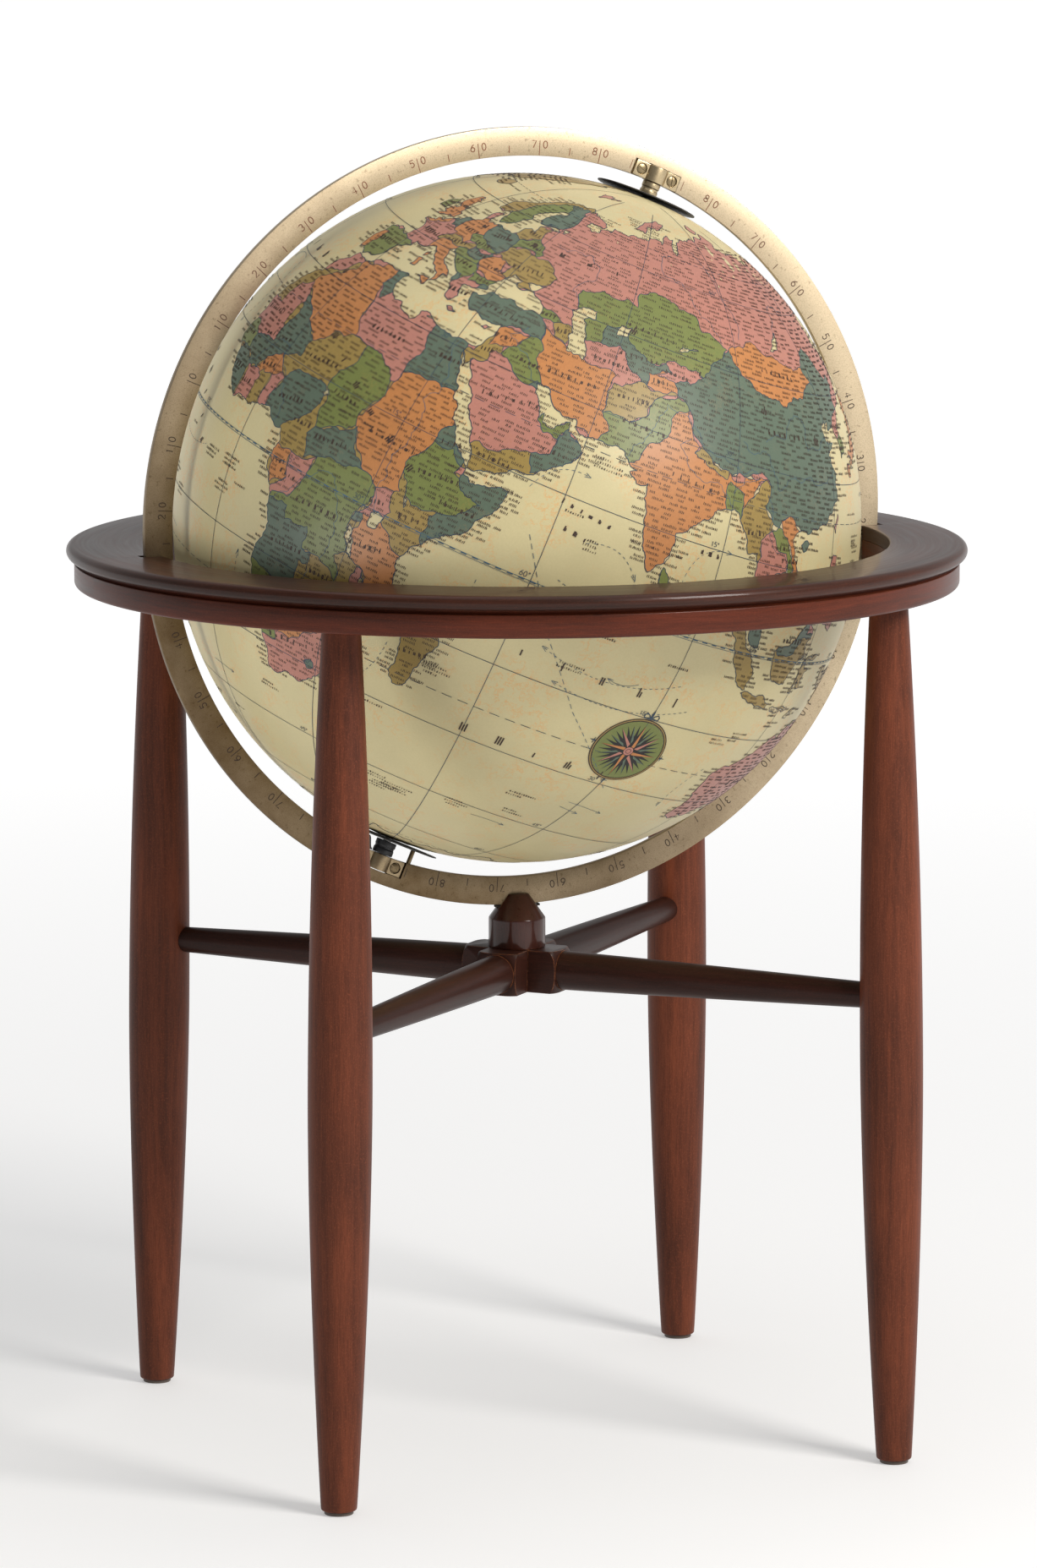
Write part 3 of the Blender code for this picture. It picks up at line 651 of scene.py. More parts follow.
def engraved():
    """Ticks and numerals of the latitude scale, as lines on the ring's front face."""
    front = Vector((0, -1, 0))

    def at(degrees, radial, across=0.0):
        a = math.radians(degrees)
        out, along = Vector((math.sin(a), 0, math.cos(a))), Vector((math.cos(a), 0, -math.sin(a)))
        return Vector((0, -half_t + ENGRAVING_LIFT, CENTRE_Z)) + out * (RING_INNER + radial) + along * across

    def tick(kind, degrees, across=0.0):
        inner, outer, width = TICKS[kind]
        return [(at(degrees, radial, across), front, width) for radial in (inner, outer)]

    for step in range(0, 360, 5):
        latitude = abs(90 - step % 180)
        degrees = math.degrees(TILT) + step
        if latitude == 90:
            for side in (-1, 1):
                yield tick("pole", degrees, side * (PLATE_HALF + 0.0035))
        elif latitude % 10 and latitude < 85:
            yield tick("five", degrees)
        elif latitude < 85:
            yield tick("ten", degrees)
            places = zip(str(latitude), (-1, 1)) if latitude else [("0", 1)]
            for digit, side in places:
                for line in DIGITS[digit]:
                    yield [(at(degrees, DIGIT_AT + y * DIGIT_SIZE, side * DIGIT_APART + x * DIGIT_SIZE),
                            front, DIGIT_STROKE) for x, y in line]


settle(strokes("ring_scale", list(engraved()), ENGRAVING_T, engraving_ink()), "meridian", "satin_brass")


# ---- brackets, collars, discs ---------------------------------------------------------------------------

def settle_bracket(pole, matrix):
    """Brass plate let into the ring, with a boss for the axle's end and two countersunk screws."""
    low_z, high_z = RING_INNER - 0.0003, RING_INNER + PLATE_DEPTH
    plate = block(f"{pole}_axle_bracket", (-PLATE_HALF, -GAP - PLATE_T, low_z), (PLATE_HALF, -GAP, high_z),
                  bracket_brass, matrix, 0.0003)
    boss = turned("cutter", soften(rod(BOSS_R, low_z, high_z), 0.0006), 72, matrix=matrix)
    carve(plate, boss, operation="UNION")
    for side, x, slot_turn in (("left", -BRACKET_SCREW_X, -20), ("right", BRACKET_SCREW_X, -82)):
        seat = matrix @ shift(x, -GAP - PLATE_T, RING_INNER + PLATE_DEPTH / 2) @ FACING_FRONT
        sink = [(0, 0.001), (0.0043, 0.001), (0.0043, 0), (0.0040, -0.0004), (0.0040, -0.0024), (0, -0.0024)]
        carve(plate, turned("cutter", sink, 40, matrix=seat))
        head = slotted_head(f"{pole}_plate_screw_{side}", 0.0036, seat @ shift(0, 0, -0.0001), screw_brass,
                            math.radians(slot_turn), height=0.0009, slot_half=0.0005, shank=0.0015)
        settle(head, "meridian", "old_brass", f"{pole}_bracket_screw_{side}")
    settle(plate, "meridian", "satin_brass", f"{pole}_bracket")


for pole, matrix in POLE_FRAMES.items():
    settle_bracket(pole, matrix)

low, high = BALL_R + 0.0028, RING_INNER - 0.0006
middle, waist = (low + high) / 2, 0.0005
for pole, outer, material, slot in (("north", 0.0068, bracket_brass, "satin_brass"),
                                    ("south", 0.0078, black, "black_plastic")):
    ribs = [(DISC_BORE_R, high), (outer, high), (outer, middle + 0.0012), (outer - waist, middle + 0.0008),
            (outer - waist, middle - 0.0008), (outer, middle - 0.0012), (outer, low), (DISC_BORE_R, low)]
    collar = turned(f"{pole}_spacer", soften(ribs, 0.0004, 2), 64, material, POLE_FRAMES[pole])
    settle(collar, "meridian", slot, f"{pole}_collar")

disc_profile = [(DISC_BORE_R, 0.0021), (0.010, 0.0021), (0.011, 0.0018), (DISC_R - 0.002, 0.0018),
                (DISC_R, 0.0014), (DISC_R, 0.0006), (DISC_BORE_R, 0.0006)]
disc_profile = soften([(r, BALL_R + z) for r, z in disc_profile], 0.0003, 2)
settle(turned("pole_dial", disc_profile, 128, black, POLAR), "dial", "black_plastic", "hour_dial")
friction_plate = turned("pole_friction_plate", disc_profile, 128, black, POLE_FRAMES["south"])
settle(friction_plate, "globe", "black_plastic", "friction_disc")

# The brake at the south pole: a pin through the ring, and a wavy leaf spring
pin_low, pin_high = BALL_R + 0.0024, RING_INNER + 0.0045
pin_matrix = POLAR @ shift(PIN_X, 0, 0)
pin = turned("pressure_pin", soften(rod(PIN_R, -pin_high, -pin_low), 0.0004), 40, screw_brass, pin_matrix)
carve(ring, turned("cutter", rod(PIN_R + 0.0005, -pin_high - GAP, -pin_low), 32, matrix=pin_matrix))
settle(pin, "meridian", "old_brass", "brake_pin")

near, far = BALL_R + 0.0024 + SPRING_T, RING_INNER - 0.0016
bends = [(-0.0095, far), (-0.0150, near), (-0.0200, far - 0.001), (-0.0255, near)]
spring_line = []
for (x0, z0), (x1, z1) in zip(bends, bends[1:]):
    spring_line += [(x0 + (x1 - x0) * t, z0 + (z1 - z0) * (t - math.sin(math.tau * t) / math.tau * 0.6))
                    for t in spread(0, 1, 8)[:-1]]
spring_line.append(bends[-1])
spring_outline = [(x, -z) for x, z in spring_line]
spring_outline += [(x, -z - SPRING_T * 1.6) for x, z in reversed(spring_line)]
bm = bmesh.new()
front, back = ([bm.verts.new((x, y, z)) for x, z in spring_outline] for y in (-SPRING_HALF, SPRING_HALF))
bm.faces.new(front)
bm.faces.new(back[::-1])
for i in range(len(front)):
    bm.faces.new((front[i - 1], front[i], back[i], back[i - 1]))
settle(piece_from("bent_leaf_spring", bm, black_steel, POLAR, 50), "meridian", "black_steel", "leaf_spring")


# ---- the printed map ------------------------------------------------------------------------------------

MAP_SPIN, MAP_LEAN, MAP_LEAN_AXIS = -165.5, 10.4, math.radians(-15.2)
LEAN_AXIS = Vector((math.cos(MAP_LEAN_AXIS), math.sin(MAP_LEAN_AXIS), 0))
TO_BALL = (Matrix.Rotation(TILT, 3, "Y") @ Matrix.Rotation(math.radians(MAP_LEAN), 3, LEAN_AXIS)
           @ Matrix.Rotation(math.radians(MAP_SPIN), 3, "Z"))
CENTRE = Vector((0, 0, CENTRE_Z))

# Outlines of coasts, countries and lakes, and the runs of rivers, as longitude,latitude in degrees
LAND = """
africa: -6,35.8 -2,35.1 0,36 3,36.9 8,37 10,37.3 11,37 10.2,34.3 11,33.2 15,32.4 16,31.2 19,30.3 20,31
  20,32.5 22,32.9 25,31.6 29,30.9 31,31.5 32.4,31.2 32.5,29.9 33.6,27.8 34,26.5 35.5,24 35.6,22 37.2,21
  37.4,18.8 38.5,18 39.6,15.5 41.2,14.6 43,12.8 43.3,11.5 45,10.6 48,11.2 51.2,11.9 51,10.4 49.5,7 48,4.3
  46,2.2 44,1 42,-.8 40.2,-2.6 39.2,-4.7 38.9,-6.5 39.5,-7 39.4,-8.5 40.3,-10.3 40.6,-14.5 40,-16.2 37,-17.8
  35,-19.8 35.4,-22 35.5,-24 33,-25.3 32.8,-27 32,-28.8 30.5,-31 28,-33 25.7,-34 22,-34.1 20,-34.8
  18.4,-34.2 18.2,-32 17,-29.5 15.2,-27 14.5,-23 13,-20 11.8,-17.5 12.4,-14 13.7,-11 13.2,-9 12.2,-6 11,-4
  9.3,-2 9.3,.5 9.8,3 8.8,4.6 7,4.4 5.5,5.2 4.4,6.3 2.5,6.3 0,5.7 -2,4.8 -4.5,5.2 -7.5,4.4 -9.5,5.6 -11.5,7
  -13.2,8.8 -14.5,11 -16.7,12.5 -17.4,14.7 -16.4,16.5 -16.2,19 -17,21 -16,23.7 -14.5,26.2 -13,27.8 -10,29.5
  -9.7,31.5 -8,33.4 -6.8,34.1
eurasia: -5.5,36 -6.4,36.8 -8.9,37 -9.4,38.7 -8.8,41.5 -9.2,43.1 -7,43.7 -1.8,43.4 -1.2,45.8 -2.2,47.2
  -4.6,47.9 -4.7,48.5 -1.6,48.7 -1.8,49.7 .2,49.6 1.6,50.8 4,51.6 4.8,53 8,53.6 8.8,54 8.2,55.6 8.2,57
  10.6,57.7 10.2,56.4 9.8,55 10.9,54.1 13.5,54.5 16.5,54.4 18.7,54.7 19.8,54.4 21,55.3 21,57 22.5,57.7
  24.3,57.1 23.6,59.2 28,59.6 30,59.9 28.5,60.6 25,60.2 22.5,59.9 21.3,61 21.5,63 24.5,64.8 25.2,65.6
  22.2,65.7 21,64.6 18,62.5 17.2,61 18.8,60 17,58.6 16.4,57 14.5,56 12.9,55.5 11.2,58.6 10.6,59.4 8,58.1
  5.6,58.8 5.1,60.5 5.2,62 8.5,63.5 11,64.7 13,66.3 15.5,68.4 19,69.8 23,70.7 27,71.1 31,70.3 33,69.4
  37,68.8 41,67.3 40,66.2 35,66.6 34.5,65 37.5,64.2 38,63.9 40.5,64.6 40,65.6 44,66.2 44.2,68 46,67.7
  49,67.7 54,68.6 59,68.6 60.5,69.8 66.5,69.3 67,71.5 69,73 73,72.5 72,68.5 73.5,67.5 74.5,68.3 75,72
  80,73.3 87,74.8 93,76 99,76.5 104,77.7 112,76 108,74 113,73.7 118,73.2 124,73.6 129,71 132,71.5 140,72.6
  150,71.4 160,69.7 170,69.8 176,69.7 180,69 180,65 178,64.5 177,62.5 171,60.2 164,59.8 163,57.5 161,55.2
  157,51.2 155.6,54 156.5,57.5 162,60.8 160,61.5 155,59.3 148,59.4 142,59 137.5,54.5 141,53 140.5,50 140,48
  135.5,44 131.5,43 129,41 127.5,39.5 129.3,37 129,35.3 126.5,34.4 126.5,37 125,38.5 124.5,39.9 121.3,39
  122,40.6 118,39.1 119,37.3 122.5,37 120,35.5 119.3,34.8 121.8,31.8 121,30 121.7,28.2 119,25.3 116.6,23.2
  113.5,22.2 110.3,21.2 109.8,21.5 108,21.6 106,19.9 107,17 109.2,14 109.2,11.8 106.8,10.4 104.9,8.7
  105,10.2 102.5,12 100.9,13.4 99.9,12 99.2,9.8 100.4,7.2 103.4,4.5 104.2,1.4 103.5,1.3 101,3 100.3,5.8
  98.4,8 98.6,12 97.6,16.4 95.3,15.8 94.2,18.5 91.9,21.5 90.5,22.2 88.5,21.7 87,21.2 86.4,20 84,18.3
  82.3,16.6 80.2,15.5 80.2,13 79.8,10.3 78.2,8.9 77.5,8.1 76.3,10 75,12.5 73.9,15.8 72.8,19 72.7,21.5
  72.3,21 70.8,20.8 69,22.3 70.2,22.8 68.4,23.6 66.7,25.2 62,25.2 57.5,25.6 57,27 54.5,26.6 52,27.8
  50.8,29.2 50,30.2 48,30.2 48.2,28.8 49.5,27.2 50.2,26.4 50.8,24.8 51.3,25.9 51.6,24.4 54,24.2 56.2,26.2
  56.5,24.5 58.8,23.5 59.8,22.4 57.8,19 55.2,17.2 52,15.5 49,14.2 45,12.9 43.4,12.7 42.8,15.5 41.5,17.8
  39.2,21.2 37.2,24.8 35.2,28 34.9,29.4 34.3,27.9 32.5,29.9 32.4,31.2 34.2,31.3 35,32.8 36,35.5 36,36.8
  34,36.2 32,36.1 30.6,36.8 28.2,36.7 27.2,37.5 26.4,39.2 26.2,40 29,40.5 29.1,41.2 31.5,41.3 35,42 38,40.9
  41.5,41.5 41.3,43 38.5,44.4 37,45.2 39.3,47.1 36,46.6 35,46.2 36.5,45.2 33.8,44.5 32.6,45.4 33.5,46.1
  31,46.7 29.7,45.2 28.6,43.8 27.7,42.5 28.3,41.5 26,40.8 23.8,40.5 22.8,40.3 24,38 23,36.5 21.6,36.9
  21.2,38.4 19.4,40.4 19.5,42 16.5,43.5 14.5,45 13.6,45.7 12.4,45.2 13.6,43.5 16,41.9 18.4,40.2 17,40.4
  17,39 15.8,38 15.6,40 12.4,41.7 10.3,43.6 8.8,44.4 6.5,43.1 3.2,43.3 3.2,41.9 .5,40.8 -.3,39.3 -.7,37.7
  -2,36.8 -4.4,36.7
chukotka: -180,69 -175,67.3 -170,66.2 -173,64.4 -178,65.6 -180,65
madagascar: 49.3,-12 50.4,-15.7 49.5,-17.5 47.8,-23 47,-25 45,-25.5 43.6,-23.5 44.4,-20 44,-17.2 46.5,-15.5
britain: -5.5,50.1 -3,50.6 1.3,51.2 1.6,52.7 .2,53.2 -1.5,55 -2,57.6 -4,57.6 -3.1,58.6 -5,58.5 -5.7,56.5
  -4.8,54.8 -3,54 -3.2,53.3 -4.6,53 -5.2,51.8 -3,51.5
ireland: -6.2,52.2 -6,54.2 -7.3,55.3 -9.8,54.2 -9.5,52
iceland: -22.5,64 -18.5,63.4 -14,65 -16,66.4 -20.5,66 -24,65.5
sardinia: 8.2,39 9.6,39.2 9.5,41.1 8.3,41
corsica: 8.7,41.5 9.4,42 9.4,43 8.6,42.3
sicily: 12.5,38 15.5,38.2 15.1,36.7
crete: 23.6,35.5 26.2,35.2 24.5,34.9
cyprus: 32.4,35 34.5,35.6 33.5,34.7
ceylon: 79.9,9.7 81.2,8.5 81.8,7 80.6,6 79.8,7.5
sumatra: 95.3,5.6 97.5,5.2 100.4,2.7 103.4,0 106,-3 105.8,-5.9 104.3,-5.7 101,-2.6 98.7,1.7
java: 105.3,-6.6 108.5,-6.6 110.8,-6.4 112.6,-6.9 114.4,-7.8 114.4,-8.7 110,-8.1 106.5,-7.4
borneo: 109,1.5 111.3,2.5 113.5,3.5 115.2,5.5 116.8,7 119.2,5.2 117.8,3.2 118.9,1 117.5,.5 116.5,-1.5 116,-4
  114.5,-4 111.5,-3.4 110.2,-1.5
sulawesi: 119.3,-5.5 119.8,.2 121,1.2 124.8,1.6 123,.6 120.8,.5 121.5,-1 123.3,-1 122,-1.8 122.8,-4.5
  121.5,-4.6 120.8,-2.8 120.4,-5.6
new_guinea: 131,-.8 134,-.8 135.2,-3.3 138,-1.7 142,-2.8 145.5,-4.8 147.8,-6.2 147.8,-8 150.8,-10.5 147,-9.5
  143.5,-8.8 141,-9 138.5,-8.2 138,-5.4 133,-4 132,-2.8
hainan: 108.7,19.3 110.5,20.1 111,19.6 109.6,18.2
taiwan: 120.1,23 121.6,25.2 121.9,24.8 120.9,22
luzon: 120.2,16 120.6,18.5 122.2,18.4 121.6,16 124,13 123.3,13 120.7,13.9
visayas: 122.5,10.5 124,11.2 125.5,12.5 125.2,10.2 123.2,9.2
mindanao: 122,7 123.5,8.6 126,9.5 126.3,7 125.5,5.7
timor: 123.7,-10.3 127,-8.4 125,-9.1
flores: 116,-8.4 119,-8.3 122.8,-8.3 120,-9 116.5,-9
honshu: 131,34.4 133,35.6 136,35.8 137,37.4 138.8,38 140,40.5 141.4,41.4 142,39.6 140.8,37 140.5,35.6
  137,34.6 135.5,33.6 133.8,34.5
kyushu: 130,33.4 131.8,33.3 131.3,31.3 130.2,31.3
shikoku: 132.5,33.9 134.5,34.2 134.2,33.3 133,32.8
hokkaido: 140,41.5 141.7,45.4 145.3,43.3 143.2,42
sakhalin: 142,46 143.5,49 142.8,54.3 141.8,50
australia: 113.7,-22.5 114.2,-26.3 115.7,-31.7 115.1,-34.2 118,-35 123.5,-33.9 126,-32.3 131,-31.5
  135.5,-34.8 137.8,-32.8 138,-35.2 140.5,-38 143.5,-38.8 146.4,-39 149.8,-37.5 151.3,-33.5 153.4,-28.2
  152.5,-24.8 149,-20.5 146.2,-18.9 145.4,-15 143.6,-14.2 142.5,-10.8 141.5,-13.5 140.8,-17.5 136,-15.2
  136.8,-12.2 132.6,-11.4 130.2,-13 129,-15 126.8,-14 124,-16.2 122.2,-18 119,-20 116,-20.8
tasmania: 144.7,-40.8 148.3,-40.9 147.8,-43 146,-43.6
north_island: 173,-34.8 175,-37 178.4,-37.7 176.8,-40 175.2,-41.6 173.8,-39.3 174.7,-38
south_island: 172.7,-40.6 174.2,-41.8 171,-44.3 170.5,-46 168.3,-46.6 166.6,-45.8 170.5,-42.8
svalbard: 11,79 16,80 27,80 22,78.2 16.5,76.7
novaya: 52,71.2 55.5,75 68,76.9 57.5,73.5 57.5,70.7
severnaya: 95,79.5 105,79 100,78
north_america: -168,65.6 -163.5,67 -166,68.8 -156.5,71.3 -148,70.4 -136,69 -128,70.2 -116,68.8 -108,68
  -96,67.5 -94,71.5 -90,69 -86,68 -82,68.5 -86,66 -93.5,62 -94.7,58.8 -90,57 -82.3,55 -81.5,52 -79.5,51.4
  -79,54.6 -77,57 -78,62.4 -72,61.5 -69.5,59 -66,58.8 -64,60.2 -61.5,57 -56,52.5 -60,50.2 -66.5,50.2 -70,47
  -65,49 -64.5,46.5 -60.5,46.5 -65.5,43.6 -67,45 -70.5,43 -70,41.7 -74,40.5 -75.8,37 -76,35 -81,32 -80.2,26
  -81.5,26 -82.8,29 -85,29.8 -90,29.2 -94,29.5 -97.3,27.5 -97.7,22.5 -95.5,18.7 -91.5,18.5 -90.3,21 -87,21.4
  -88.3,16.5 -84,15.8 -83.3,11 -81.5,9 -79.5,9.6 -77.3,8.5 -78.5,7.6 -80.5,7.4 -83,8.4 -85.8,10.2 -87.6,13
  -92.2,14.5 -96,15.9 -102,18 -105.5,20.3 -106.5,23.3 -112.3,29.2 -114.8,31.7 -112,27 -109.5,23.1 -112.2,26
  -115.5,29.8 -117.2,33 -120.6,34.6 -123.8,39 -124.4,43 -123.2,48.3 -128,51 -131,55 -137,58.5 -145,60.3
  -151.5,60.5 -154,58 -162,55.2 -158,58 -162,59 -166,61.5 -161,64.2
south_america: -77.3,8.5 -75.5,10.7 -71.8,12.3 -71.5,10.8 -68,11.5 -62,10.7 -58,7.2 -52,5 -50,1.5 -50,-.5
  -44.5,-2.5 -39,-3.2 -35.3,-5.2 -35,-8.5 -39,-13 -39.2,-17.8 -41,-22 -44.5,-23 -48.5,-26 -49,-28.7
  -53,-33.2 -54.8,-34.9 -58.2,-34 -57,-36.5 -58.5,-38.4 -62.3,-39 -65,-41.2 -65.3,-44.8 -67.5,-46.2
  -65.8,-48 -69,-50.8 -68.4,-52.5 -66,-54.8 -70,-55.3 -74,-52.5 -75.4,-49 -73.5,-42 -73.6,-37.3 -71.5,-30
  -70.2,-20 -71,-17.8 -76.2,-14 -79.8,-7.2 -81.2,-5 -80,-3.2 -81,-1 -80,.8 -77.5,2.5 -77.3,6 -78.5,7.6
greenland: -73,78.3 -60,81.8 -40,83.2 -22,82 -18,77 -20,73 -24,69.5 -34,66.5 -40,65 -43.5,60 -48.5,61 -53,66
  -51,69.8 -56,74.5 -68,76
baffin: -80,73.6 -72,71 -62,66.8 -65,63 -71.5,63.5 -77.5,65.3 -73,68 -84,70 -90,72.5
ellesmere: -90,77 -78,76.5 -75,78.5 -62,82.4 -75,83 -92,81
victoria_island: -116,69 -105,69.2 -106,73 -118,72.5
banks: -125,72 -120,74.3 -117,73 -123,71.3
newfoundland: -59.3,47.8 -55.5,46.9 -53,47.5 -55.8,51.4 -57.5,50
cuba: -84.8,21.9 -81,23.1 -74.3,20.1 -77.7,19.9 -82,22.4
hispaniola: -74.4,18.6 -73,19.9 -68.5,18.4 -72,17.9
antarctica: -180,-78 -165,-78 -158,-77 -145,-75.5 -130,-74 -115,-74 -100,-72.5 -88,-73 -76,-73 -68,-69.5
  -63,-65 -57.5,-63.3 -62,-68 -62,-73 -75,-77.5 -60,-78.5 -40,-78 -28,-76 -15,-72.5 0,-70 20,-70 35,-69
  50,-66.5 60,-67.3 70,-69.5 80,-67.8 90,-66.6 110,-66.3 130,-66.2 145,-67 160,-69.3 171,-71.6 165,-77.5
  180,-78 180,-90 -180,-90
"""

